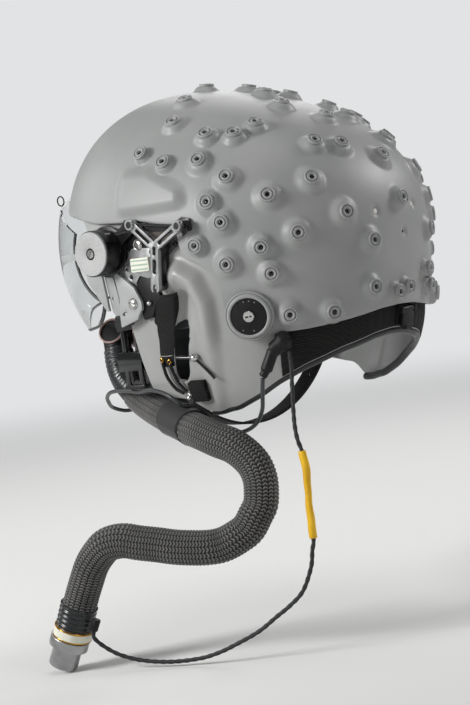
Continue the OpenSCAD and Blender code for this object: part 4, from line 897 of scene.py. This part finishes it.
# Woven cover behind the lever's arms: brownish grey canvas.
canvas = solid_finish("woven_canvas_brown_grey", "4b4641", "6d6761", 2.2, 0.9, 0.2, 0.85, 0.05)
pair(plate("rod_cover_cloth", [(2, 22), (44, 17.5), (22, 5)], plate_x + 2, plate_x + 2.6),
    "webbing", canvas)
fitted("catch_pins", 20, [(1.6, 0), (1.6, 9.4), (1.25, 9.9)], side_places(plate_x, 17, -30),
    "steel", steel)
pair(plate("clip_block", [(-11.5, -15.8), (9.5, -15.8), (9.5, -4.2), (-11.5, -4.2)], bar_x,
    bar_x + 4.7, round_mm=1.4, edge_mm=0.5), "pale_plastic", acetal, "clip_blocks")
bar = plate("bar", [(-10.6, -6.9), (8.6, -6.9), (8.6, -5.7), (-10.6, -5.7)], bar_x + 4.2,
    bar_x + 5.0, round_mm=0.5, edge_mm=0.2)
pair(copies(bar, "clip_block_bars", [Matrix.Translation((0, 0, -k * 0.0037)) for k in range(3)]),
    "pale_plastic", acetal_green)
pair(plate("mask_receiver_plate", [(-34.5, -16.5), (-31, -15), (-24, -20), (-13, -28.5),
    (-6.5, -41), (-6.5, -46.5), (-11, -51.5), (-13.5, -55.5), (-33.5, -61), (-33.5, -50),
    (-31.5, -36)], bar_x, bar_x + 3, [[(-30.5, -49.5), (-25.5, -47.3), (-24.3, -49.6),
    (-29.3, -51.8)]], 1.0, 0.35), "grey_paint", grey_paint, "mask_receivers")
pair(plate("receiver_bracket", [(-51, -12), (-41.5, -13), (-37, -34), (-36.5, -52), (-41, -53.5),
    (-45.5, -48)], 131.6, 133.4, [hole(-43.2, -36, 1.5)]), "grey_paint", grey_paint)
# The screws: a turned head with a raised rim and a slot, on a washer.
fitted("receiver_screws", 40, [(5.0, 0), (5.0, 0.7), (4.7, 1.0), (4.2, 1.0), (4.05, 0.55),
    (3.75, 0.55), (3.6, 1.3), (3.2, 1.65), (1.2, 1.75)], side_places(bar_x + 3.1, -16, -42, 60),
    "steel", steel, slot=(6.2, 1.1, 1.75, 1.1))
fitted("side_plate_screws", 40, [(5, 0), (5, 0.8), (4.6, 1.15), (4.2, 1.1), (4.0, 0.7), (3.7, 1.1),
    (3.2, 1.4), (1.0, 1.5)], side_places(bar_x - 0.6, -4.5, 6.5, 12), "steel", steel,
    "plate_screws", slot=(8, 1.2, 1.5, 1.0))
fitted("backing_screws", 28, [(2.4, 0), (2.4, 0.7), (2.1, 1.1), (0.8, 1.2)],
    side_places(bar_x - 0.8, 38, 3, 45) + side_places(bar_x - 0.2, 10.5, -0.5, 20),
    "steel", anodised_black, slot=(6, 0.7, 1.2, 0.7))
# Webbing anchor beside the receiver: a black block with a ball-headed screw.
pair(plate("strap_anchor", [(-13, -26), (-7, -19.5), (0, -19), (7, -24), (12, -33), (13, -41),
    (6, -45), (2, -55), (-10, -57), (-11, -44)], 130.4, 134.4, round_mm=3, edge_mm=1.2),
    "webbing", nylon_black)
fitted("anchor_screws", 28, [(1.1, 0), (1.7, 0.5), (2.15, 1.3), (2.2, 2.0), (1.9, 2.9), (1.2, 3.6),
    (0.4, 3.9)], side_places(134.2, 1, -42.7), "steel", steel)

face_x, disc_az, disc_el = 153.05, 38.7, -22.8
for side, sign in (("left", 1), ("right", -1)):
    lever, knob, ear = "latch_" + side, "knob_" + side, "disc_" + side
    eased("hub_" + side, "helmet", "black_plastic", anodised_black, 0.3)
    eased("latch_lever_" + side, lever, "satin_metal", satin_alloy, 0.4, 3)
    ends = side_places(139.3, -2, 24, sides=(sign,)) + side_places(139.3, 52, 18, sides=(sign,))
    fitted("latch_eyes_" + side, 36, [(4.5, 0), (4.6, 5.7), (4.2, 6.2), (3.2, 6.2), (2.8, 5.8),
        (2.75, 4.0)], ends, "satin_metal", satin_alloy, body=lever)
    fitted("latch_eye_cores_" + side, 24, [(2.8, 4.5), (2.8, 5.7), (1.0, 5.75)], ends,
        "black_plastic", anodised_black, body=lever)
    eased("knob_drum_" + side, knob, "black_plastic", anodised_black, 0.8, 3)
    mark = plate("drum_mark_" + side, [(-30.6, 19.6), (-29.3, 18.5), (-29.0, 18.9), (-30.3, 20.0)],
        140.4, 146, edge_mm=0)
    mark.data.transform(Matrix.Scale(sign, 4, (1, 0, 0)))
    settle(mark, knob, "face_metal", face_paint)
    middle = side_places(face_x, *pivot, sides=(sign,))
    fitted("knob_face_" + side + "_disc", 72, [(18.6, 0), (18.6, 1.25), (18.25, 1.6), (5.35, 1.6),
        (5.1, 1.4), (5.1, 0.5)], middle, "face_metal", face_paint, "knob_face_" + side, body=knob)
    # A black ring laid on the floor of the face's shallow groove: painted shade, so that the groove looks
    # dark.
    fitted("knob_well_" + side, 40, [(5.0, 0.5), (5.0, 0.62), (3.5, 0.65)], middle,
        "black_plastic", anodised_black, body=knob)
    fitted("knob_bolt_" + side, 36, [(3.7, 0.6), (3.7, 1.5), (3.4, 1.9), (1.2, 2.0)],
        side_places(face_x, *pivot, -40 * sign, sides=(sign,)), "steel", steel, body=knob,
        slot=(8.5, 1.2, 2.0, 1.1))
    eased("ear_disc_" + side, ear, "black_plastic", nylon_black, 0.5, 3)
    at_ear = stand(disc_az if sign > 0 else 180 - disc_az, disc_el)
    fitted("disc_centre_" + side, 36, [(4.6, 4.9), (4.6, 5.9), (4.3, 6.25), (1.2, 6.35)],
        [at_ear @ Matrix.Rotation(math.radians(95), 4, "Z")], "steel", steel, body=ear,
        slot=(5.6, 1.4, 6.35, 1.1))
    fitted("disc_dots_" + side, 12, [(0.42, 0), (0.4, 0.12)], [at_ear
        @ Matrix.Rotation(math.radians(a), 4, "Z") @ Matrix.Translation(Vector((12.6, 0, 4.9)) * MM)
        for a in (150, 171, 192, 330, 12)], "face_metal", face_paint, body=ear)
fitted("ear_bezel_rings", 80, [(17.0, 0.4), (20.75, 0.4), (20.6, 2.4), (20.1, 3.4), (19.4, 3.6),
    (19.0, 3.1), (18.7, 3.2), (18.4, 4.4), (17.9, 5.3), (17.2, 5.75), (16.4, 5.85), (15.7, 5.6),
    (15.35, 5.2), (15.3, 1.0)], [stand(disc_az, disc_el), stand(180 - disc_az, disc_el)],
    "shell_paint", outer_paint, "ear_bezels")
for name, y, nodes in (("mask_rail_front", -58.3, ["mask_rails"]), ("mask_rail_rear", -42.3, [])):
    pair(plate(name, [(y, -115.5), (y + 4.6, -115.5), (y + 4.6, -58), (y, -58)], 111.6, 116.4,
        edge_mm=0.7), "black_plastic", lacquer_black, *nodes)
for name, outline, x0, x1 in (("rail_head", [(-60, -66), (-36, -64), (-36, -56), (-60, -57)], 109.5, 118.5),
        ("rail_foot", [(-60, -116), (-36, -116), (-36, -112.5), (-60, -112.5)], 110.5, 117.5),
        ("rail_hanger", [(-45, -61), (-28, -60), (-24, -51), (-43, -51)], 112, 134.8)):
    pair(plate(name, outline, x0, x1, edge_mm=0.8), "black_plastic", anodised_black)
front_end, rear_end = Vector((141.4, -4, 24.2)) * MM, Vector((141.4, 54, 17.8)) * MM
rod_line = resampled(np.array([front_end, rear_end]), 0.004)
pair(swept("latch_rod_wire", rod_line, 0.0011, 14), "steel", lacquer_black, "latch_rods")
eased("rear_latch_base", "helmet", "black_plastic", nylon_black, 0.4)
eased("rear_latch", "flap", "black_plastic", nylon_black, 0.5)


# Visor and its arms
# A sheet of polycarbonate, 2 mm thick, blown to shape and trimmed, with a black lip all round
# its free edge. A painted arm on each side turns on the hub and holds the sheet by a bracket.
visor_r, visor_half, visor_top, visor_span, visor_t = 140.7, 136, 24, 70, 0.0019
visor_low = np.array([[0, -16], [20, -22], [35, -34], [50, -45], [60, -58], [70, -66]], float)


def visor_point(phi, theta, off=0):
    p, t = np.radians(phi), np.radians(theta)
    rho = (visor_r + off) * np.cos(p)
    side = (visor_half + off) * np.sin(p) + 0 * t
    return np.stack([side, pivot[0] - rho * np.cos(t), pivot[1] + rho * np.sin(t)], -1) * MM


def visor_foot(phi):
    """The lower edge's angle, on one smooth line through the trimmed corners."""
    fine, reach, soften = np.arange(-80, 80.01, 0.5), 16, 6
    low = np.interp(np.abs(fine), visor_low[:, 0], visor_low[:, 1])
    weight = np.exp(-0.5 * (np.arange(-reach, reach + 1) / soften) ** 2)
    return np.interp(phi, fine, np.convolve(low, weight / weight.sum(), "same"))


def quilt(rows, columns):
    """The faces of a sheet of points, row by row."""
    return [(i * columns + j, (i + 1) * columns + j, (i + 1) * columns + j + 1, i * columns + j + 1)
        for i in range(rows - 1) for j in range(columns - 1)]


across, downs = np.linspace(-visor_span, visor_span, 121), np.linspace(0, 1, 49)
grid = [visor_point(across, visor_top + (visor_foot(across) - visor_top) * d, -0.05) for d in downs]
faces = quilt(len(downs), len(across))
visor = piece_from("visor_sheet", np.concatenate(grid), faces)
alone(visor)
start_edit()
end_edit()
middle = visor.data.polygons[len(faces) // 2]
smoothed(shaped(visor, "SOLIDIFY", thickness=visor_t, offset=-1 if middle.normal.y < 0 else 1), 40)
# Polycarbonate with a hard coat: clear, with sharp reflections and pale edges.
visor_sheet = new_material("hard_coated_polycarbonate")
tree = visor_sheet.node_tree
skin = add_node(tree, "BsdfPrincipled", {"Base Color": linear("eceeee"), "Roughness": 0.02,
    "IOR": 1.3, "Transmission Weight": 1.0})
add_node(tree, "OutputMaterial", {"Surface": skin})
settle(visor, "visor", "clear_visor", visor_sheet, "visor")
lip_drop_mm, degrees = 2.1, 57.3
drop = lip_drop_mm * degrees / (visor_r * np.cos(np.radians(across)))
low_line = visor_point(across, visor_foot(across) - drop, -1)
up_left, up_right = [visor_point(phi, np.linspace(visor_foot(visor_span) - 2, visor_top, 40), -1)
    for phi in (visor_span + 0.5, -visor_span - 0.5)]
lip_path = resampled(np.concatenate([up_right[::-1], low_line[2:-2], up_left]), 0.002)
# Extruded neoprene lip: black, in soft clouds of two dark greys.
lip_rubber = solid_finish("extruded_neoprene_lip", "2a2b2b", "4a4b4b", 6, 0.8, 0.02, 0.45)
settle(swept("visor_lip", lip_path, 0.00125, 16), "visor", "black_rubber", lip_rubber, "visor_edge")
for side, sign in (("left", 1), ("right", -1)):
    arm = plate("visor_arm_" + side + "_plate", [(-42, 21), (-52, 18), (-58, 9), (-60, 6),
        (-96.5, 5.6), (-96.5, 0), (-60, -0.5), (-62, -4), (-69, -12), (-67, -21), (-49.5, -46),
        (-46.5, -46.5), (-50.5, -14), (-42, -13), (-32, -9.5), (-25.4, 4), (-31, 17)],
        134.3, 136.8, [hole(*pivot, 8.1)], 2.5, 0.4)
    arm.data.transform(Matrix.Scale(sign, 4, (1, 0, 0)))
    if sign < 0:
        arm.data.flip_normals()
    settle(arm, "visor", "pale_plastic", grey_paint, "visor_arm_" + side)
    fitted("visor_post_" + side, 24, [(2.4, -8.4), (2.4, 0.3), (2.1, 0.6)],
        side_places(134.6, -93.4, 2.8, sides=(sign,)), "steel", steel, body="visor")
loop_turn = np.radians(np.arange(0, 361, 12))
loop = np.stack([87.6 + 1.6 * np.cos(loop_turn), -139.6 - 2.4 * np.cos(loop_turn),
    54.0 + 4.2 * np.sin(loop_turn)], 1) * MM
tabs = on_both_sides(swept("visor_pull_loops", loop, 0.0006, 12))
settle(tabs, "visor", "black_plastic", nylon_black, "visor_tabs")


# Cheek strap
# Black nylon webbing, 30 mm wide at its top, that comes from behind the anchor and narrows to
# two brass eyelets. Thin cords run from the eyelets to a screw beside the textured keeper.
def woven(name, dark, light, pitch_mm, roughness=0.8):
    """Plain weave on Object coordinates: two crossed sets of threads a pitch apart."""
    material = new_material(name)
    tree = material.node_tree
    place = add_node(tree, "TexCoord").outputs["Object"]
    waves_per_metre = 0.314 / (pitch_mm * MM)
    warp, weft = [add_node(tree, "TexWave", {"Vector": place,
        "Scale": waves_per_metre, "Distortion": 0.6, "Detail Scale": 2.0}, bands_direction=way)
        for way in ("DIAGONAL", "Z")]
    cross = add_node(tree, "Math", {0: warp.outputs["Fac"], 1: weft.outputs["Fac"]}, operation="MULTIPLY")
    fuzz = add_node(tree, "TexNoise", {"Vector": place, "Scale": 900.0, "Detail": 3.0})
    blend = add_node(tree, "Math", {0: cross, 1: fuzz}, operation="MULTIPLY")
    level = add_node(tree, "MapRange", {"Value": blend, "From Max": 0.5})
    tint = add_node(tree, "Mix", {0: level, 6: linear(dark), 7: linear(light)}, data_type="RGBA")
    relief = add_node(tree, "Bump", {"Height": cross, "Strength": 0.8, "Distance": 0.0003})
    skin = add_node(tree, "BsdfPrincipled", {"Base Color": tint.outputs[2], "Roughness": roughness,
        "Specular IOR Level": 0.25, "Normal": relief})
    add_node(tree, "OutputMaterial", {"Surface": skin})
    return material


# Nylon webbing: soft black with grey thread crests.
webbing = woven("nylon_webbing_black", "0e0e0e", "2b2a29", 1.5)
strap_rows = np.array([[1.7, 12.7, -15.4], [1.2, 12.2, -18.5], [0.8, 11.4, -21.5], [0.4, 10, -24.5],
    [0.2, 8.6, -27.5], [0, 7.6, -30.5], [-0.8, 6, -33.5], [-1.4, 4.4, -36.5], [-1.4, 4.2, -38]])
strap_off_mm, webbing_t = 2.4, 0.0017


def strap_point(u, v, rise=0.0):
    """A place on the strap: u across and v down, each 0 to 1, with its creases and curled edges."""
    at = v * (len(strap_rows) - 1)
    left, right, el = [np.interp(at, np.arange(len(strap_rows)), column) for column in strap_rows.T]
    az = left + (right - left) * u
    out = inner_skin_r(az, el) + strap_off_mm + rise
    for height, where, lean, run in ((1.5, 0.44, 0.16, 0.035), (-0.9, 0.52, 0.18, 0.04)):
        out = out + height * np.exp(-((v - where - lean * (u - 0.5)) / run) ** 2)
    sway_mm, arch_mm = 0.5, 0.9
    out = out + sway_mm * np.sin(9 * v + 2 * u) + arch_mm * np.sin(np.pi * u) * (1 - 0.5 * v)
    return direction(az, el) * out[..., None] * MM


u, v = np.meshgrid(np.linspace(0, 1, 25), np.linspace(0, 1, 90))
strap = piece_from("cheek_straps", strap_point(u, v).reshape(-1, 3), quilt(*u.shape))
shaped(strap, "SOLIDIFY", thickness=webbing_t, offset=-1)
settle(smoothed(on_both_sides(strap), 50), "helmet", "webbing", webbing, "straps")
seam_u = np.linspace(0.06, 0.94, 80)
seam = strap_point(seam_u, 0.8 + 0 * seam_u, 0.18 * np.sign(np.sin(seam_u * 60)) + 0.1)
# Waxed polyester thread: light grey.
thread = solid_finish("waxed_thread_grey", "8f8d88", "aaa8a2", 2, 0.5, 0.02, 0.6)
pair(swept("strap_stitching", seam, 0.00032, 8), "webbing", thread)
# Brass eyelets: rolled edge, bright gold.
brass = solid_finish("rolled_brass", "c08a2e", "dcab4e", 2, 0.3, 0.01, 0.2, 0.04, Metallic=0.9)
eyelet_places = [stand(az, el, -3.9, inner_skin_r)
    for az, el in ((-0.4, -36.2), (3.2, -36.8), (180.4, -36.2), (176.8, -36.8))]
fitted("strap_eyelet_rings", 32, [(1.9, -0.4), (2.1, 0.1), (2.0, 0.5), (1.7, 0.7), (1.4, 0.5),
    (1.25, 0.1), (1.25, -0.3)], eyelet_places, "gold_metal", brass, "strap_eyelets")
fitted("strap_eyelet_holes", 20, [(1.3, -0.5), (1.3, 0.45)], eyelet_places, "webbing", nylon_black)


def laid(places, off, spacing=0.0009):
    """A smooth path over the inner shell, at a height above it in mm."""
    az, el = np.array(places, float).T
    points = direction(az, el) * (inner_skin_r(az, el) + off)[:, None]
    return resampled(through(points, 12), spacing)


# Braided cord: black, slightly glossy.
lace_braid = woven("braided_cord_black", "0f0f10", "2c2c2d", 1.0, 0.55)
for name, route, nodes in (("strap_lace_front", [[-0.4, -36.2], [-0.5, -38.15], [-0.4, -40],
        [0.4, -41.8], [2.4, -44], [5.6, -45.2]], ["strap_cords"]), ("strap_lace_rear", [[3.2, -36.8],
        [3.3, -38.15], [3.8, -40.2], [4.6, -42.2], [6.2, -43.8], [7.6, -44.8]], [])):
    pair(swept(name, laid(route, 4.2), 0.00145, 14), "webbing", lace_braid, *nodes)
eased("strap_keepers", "helmet", "black_plastic", webbing, 1.2, 3)
eased("strap_fittings", "helmet", "steel", steel, 0.4)
wire_places = [[6.6, -35.3], [10.5, -35.4], [14.7, -35.7], [18.6, -37.8], [22.2, -40.6]]
pair(swept("wire_clip_bars", laid(wire_places, 3.4), 0.00125, 14), "black_wire", lacquer_black,
    "wire_clips")
fitted("wire_clip_domes", 32, [(3.4, 0.2), (3.6, 1.2), (3.4, 2.4), (2.8, 3.5), (1.9, 4.3),
    (0.8, 4.7)], [stand(az, -35.9, -1.6, inner_skin_r) for az in (15.2, 164.8)], "steel", steel)


# Mask and its valve
# A moulded shell over the nose and mouth with a soft seal, hung from two carriages that slide
# on the rails. The hose's elbow turns in a silicone-rimmed port on its left.
def softened(node, name, body, slot_name, material, voxel_mm, smoothing):
    """A moulded piece: the solid remeshed finely and relaxed, so that every edge is round."""
    piece = merged(node, name)
    shaped(piece, "REMESH", mode="VOXEL", voxel_size=voxel_mm * MM, use_smooth_shade=True)
    shaped(piece, "SMOOTH", factor=0.5, iterations=smoothing)
    return settle(piece, body, slot_name, material, node)


# Moulded mask shell: dark grey nylon, dull.
mask_grey = solid_finish("moulded_mask_shell_grey", "242628", "303234", 20, 0.5, 0.02, 0.5)
softened("mask_shell", "mask_shell_moulding", "mask", "grey_plastic", mask_grey, 1.4, 10)
# Silicone seal and ring: soft, slightly shiny; the valve's ring is flesh pink.
silicone_black = solid_finish("moulded_silicone_black", "1c1d1e", "272829", 9, 0.6, 0.01, 0.4)
silicone_pink = solid_finish("moulded_silicone_pink", "9a7f79", "b0958e", 7, 0.5, 0.01, 0.38)
softened("face_seal", "mask_face_seal", "mask", "black_rubber", silicone_black, 1.3, 12)
eased("mask_valve", "mask", "valve_rubber", silicone_pink, 0.9, 3)
eased("hose_elbow", "mask", "black_plastic", nylon_black, 0.5)
# A round inlet on the elbow's outer side, with a flesh-pink silicone rim round a dark mouth.
inlet_turn = Vector((0.8, 0.3, 0.5)).normalized().to_track_quat("Z", "Y").to_matrix().to_4x4()
inlet_place = [Matrix.Translation(Vector((65, -120, -68)) * MM) @ inlet_turn]
fitted("inlet_mouth", 56, [(11.9, -7), (12.3, 0.8), (11.2, 1.4), (10.4, 0.8), (10.2, -1.2)],
    inlet_place, "black_plastic", nylon_black, body="mask")
fitted("inlet_rim", 56, [(11.6, -3), (12.3, 1.3), (12.4, 2.0), (11.9, 2.6), (11.2, 2.6), (10.7, 2.1),
    (10.6, 1.4), (10.4, -1.0)], inlet_place, "valve_rubber", silicone_pink, body="mask")
fitted("inlet_screen", 56, [(10.5, -0.9), (10.45, 0.1)], inlet_place, "black_plastic", nylon_black,
    body="mask")
eased("microphone", "mask", "black_plastic", nylon_black, 0.5)
eased("mask_arms", "mask", "black_plastic", lacquer_black, 0.8, 3)
# The bare end of the hose below its sleeve: ribbed, then clamped by a white collar.
cuff_start = Vector((193.9, -72, -288.1)) * MM
cuff_way = Vector((0.075, -0.4, -0.914)).normalized()
cuff_r, cuff_rib, cuff_pitch = 0.0157, 0.0005, 0.0043


def on_cuff(name, start_mm, end_mm, radius, sides, slot_name, material, *nodes):
    """A round piece along the hose's straight end, from and to a distance down it."""
    steps = np.linspace(start_mm, end_mm, max(3, int((end_mm - start_mm) * 2)))
    line = np.array([cuff_start + cuff_way * s * MM for s in steps])
    settle(swept(name, line, radius, sides), "mask", slot_name, material, *nodes)


on_cuff("hose_cuff_part", 0, 29.6, lambda s, angles: (cuff_r + cuff_rib
    * np.cos(2 * math.pi * s / cuff_pitch)) * np.ones_like(angles), 48, "black_rubber", hose_rubber,
    "hose_cuff")
on_cuff("hose_clamp_ring", 20.5, 29, 0.0167, 64, "pale_plastic", acetal)
on_cuff("hose_clamp_band_0", 20.3, 21.3, 0.01695, 64, "gold_metal", brass)
on_cuff("hose_clamp_band_1", 28.2, 29.2, 0.01695, 64, "gold_metal", brass)
eased("hose_connector", "mask", "satin_metal", satin_alloy, 0.8, 3)
eased("comms_plug", "mask", "black_plastic", nylon_black, 0.5)
softened("lead_sockets", "lead_socket_moulding", "helmet", "black_plastic", nylon_black, 0.8, 5)


# Edge roll and nape trim
# A rubber roll is bonded along the inner shell's lower edge from cheek to cheek. Over the nape
# a black trimmed cloth covers the shell below the outer shell's edge.
roll_columns = inner_columns[(inner_columns[:, 0] > 15) & (inner_columns[:, 0] < 165)]
az, el = roll_columns.T
a, e = np.radians(az), np.radians(el)
inward = np.stack([np.sin(e) * np.cos(a), np.sin(e) * np.sin(a), -np.cos(e)], 1)
roll_below, roll_r = 3.7, 0.0032
wall_middle = (inner_skin_r(az, el) + plain_r(az, el) - inner_inset - wall) / 2
roll_path = direction(az, el) * wall_middle[:, None] + roll_below * inward
roll = swept("edge_roll_tube", resampled(roll_path * MM, 0.002), roll_r, 20)
settle(roll, "helmet", "black_rubber", silicone_black, "edge_roll")
trim_az, trim_t = np.meshgrid(np.linspace(47, 133, 180), np.linspace(0, 1, 14))
top_el = np.interp(fold(trim_az), [46, 56, 68, 82, 90], [-26.5, -26, -24.6, -23, -22.6])
low_el = np.interp(trim_az, inner_columns[:, 0], inner_columns[:, 1]) + 0.4
trim_el = top_el + (low_el - top_el) * trim_t
bulge = np.sin(np.pi * trim_t)
off_mm, bulge_mm, ripple_mm, ripples = 0.9, 0.9, 0.25, 1.7
puff = off_mm + bulge_mm * bulge + ripple_mm * np.sin(trim_az * ripples) * bulge
trim_points = direction(trim_az, trim_el) * (inner_skin_r(trim_az, trim_el) + puff)[..., None] * MM
trim = piece_from("nape_trim_cloth", trim_points.reshape(-1, 3), quilt(*trim_az.shape))
settle(shaped(trim, "SOLIDIFY", thickness=0.0011, offset=-1), "helmet", "foam_cloth", webbing)


# Soft pieces inside
# Foam pads covered in knitted cloth, stuffed ear seals and the webbing chin strap. The brow
# and nape pads and the ear seals are blown up by cloth simulation from the space that their solids hold.
def puffed(node, name, slot_name, material, voxel_mm, cap_mm):
    """A stuffed pad: slimmed, then swollen as cloth, with no point moved past the cap."""
    piece = merged(node, name)
    slim_mm, pressure, frames = 0.8, 4, 20
    shaped(piece, "REMESH", mode="VOXEL", voxel_size=voxel_mm * MM, use_smooth_shade=True)
    shaped(piece, "DISPLACE", strength=-slim_mm * MM, mid_level=0)
    shaped(piece, "SMOOTH", factor=0.5, iterations=2)
    rest = np.array([v.co for v in piece.data.vertices])
    alone(piece)
    cloth = piece.modifiers.new("cover", "CLOTH")
    cloth.settings.use_pressure = True
    cloth.settings.uniform_pressure_force = pressure
    cloth.settings.effector_weights.gravity = 0
    for step in range(1, frames + 1):
        scene.frame_set(step)
    swollen = piece.evaluated_get(bpy.context.evaluated_depsgraph_get()).data
    moved = np.array([v.co for v in swollen.vertices]) - rest
    length = np.linalg.norm(moved, axis=1, keepdims=True)
    moved *= np.minimum(1, cap_mm * MM / np.maximum(length, 1e-9))
    piece.modifiers.remove(cloth)
    scene.frame_set(1)
    piece.data.vertices.foreach_set("co", (rest + moved).ravel())
    piece.data.update()
    shaped(piece, "SUBSURF", levels=1, render_levels=1)
    settle(piece, "helmet", slot_name, material, node)


# Brushed knit over foam: charcoal, soft.
pad_cloth = woven("brushed_knit_charcoal", "2b2c2d", "4a4b4c", 1.6)
# Leather over foam rings: black, smooth, lightly grained.
leather = solid_finish("lambskin_black", "161515", "242222", 6, 1.1, 0.08, 0.45)
puffed("brow_pad", "brow_pad_cushion", "foam_cloth", pad_cloth, 4, 2.5)
puffed("nape_pad", "nape_pad_cushion", "foam_cloth", pad_cloth, 4, 2.5)
puffed("ear_seals", "ear_seal_cushions", "black_rubber", leather, 3.2, 1.8)
liner_az = np.arange(-90, 270, 1.5)
liner_el = np.interp(fold(liner_az), [-90, -60, -42, -19, 90], [36, 35, 28, 10, 6])
liner_out, foam, channel_round, down_deep, round_deep = 13.5, 12, 0.35, 2.6, 1.0


def liner_inside(az, el):
    """The head side of the liner: 12 mm of foam, quilted in channels from the crown down."""
    down, around = [np.abs(np.sin(np.radians(angle * 6))) ** channel_round for angle in (az, el)]
    return plain_r(az, el) - liner_out - foam + down_deep * (1 - down) + round_deep * (1 - around)


liner_rows = [row_at(t, lambda a, e: plain_r(a, e) - liner_out) for t in np.linspace(0.04, 1, 24)]
liner_rows += [row_at(1.008, lambda a, e, deep=deep: plain_r(a, e) - deep) for deep in (16, 22)]
liner_rows += [row_at(t, liner_inside) for t in np.linspace(1, 0.04, 60)]
liner = piece_from("liner_quilted", *crowned(np.stack([liner_az, liner_el], 1), liner_rows))
settle(liner, "helmet", "foam_cloth", pad_cloth, "liner")
pads = eased("shell_pads", "helmet", "foam_cloth", pad_cloth, 0.2)
# Moulded ear cups: dark grey nylon, with the sound ports of each earphone facing the ear.
cup_grey = solid_finish("moulded_cup_grey", "3a3c3e", "484a4c", 14, 0.5, 0.02, 0.5)
eased("ear_cups", "helmet", "black_plastic", cup_grey, 1.2, 3)
eased("earphones", "helmet", "grey_plastic", mask_grey, 1.0, 3)
eased("chin_strap", "helmet", "webbing", webbing, 0.3)
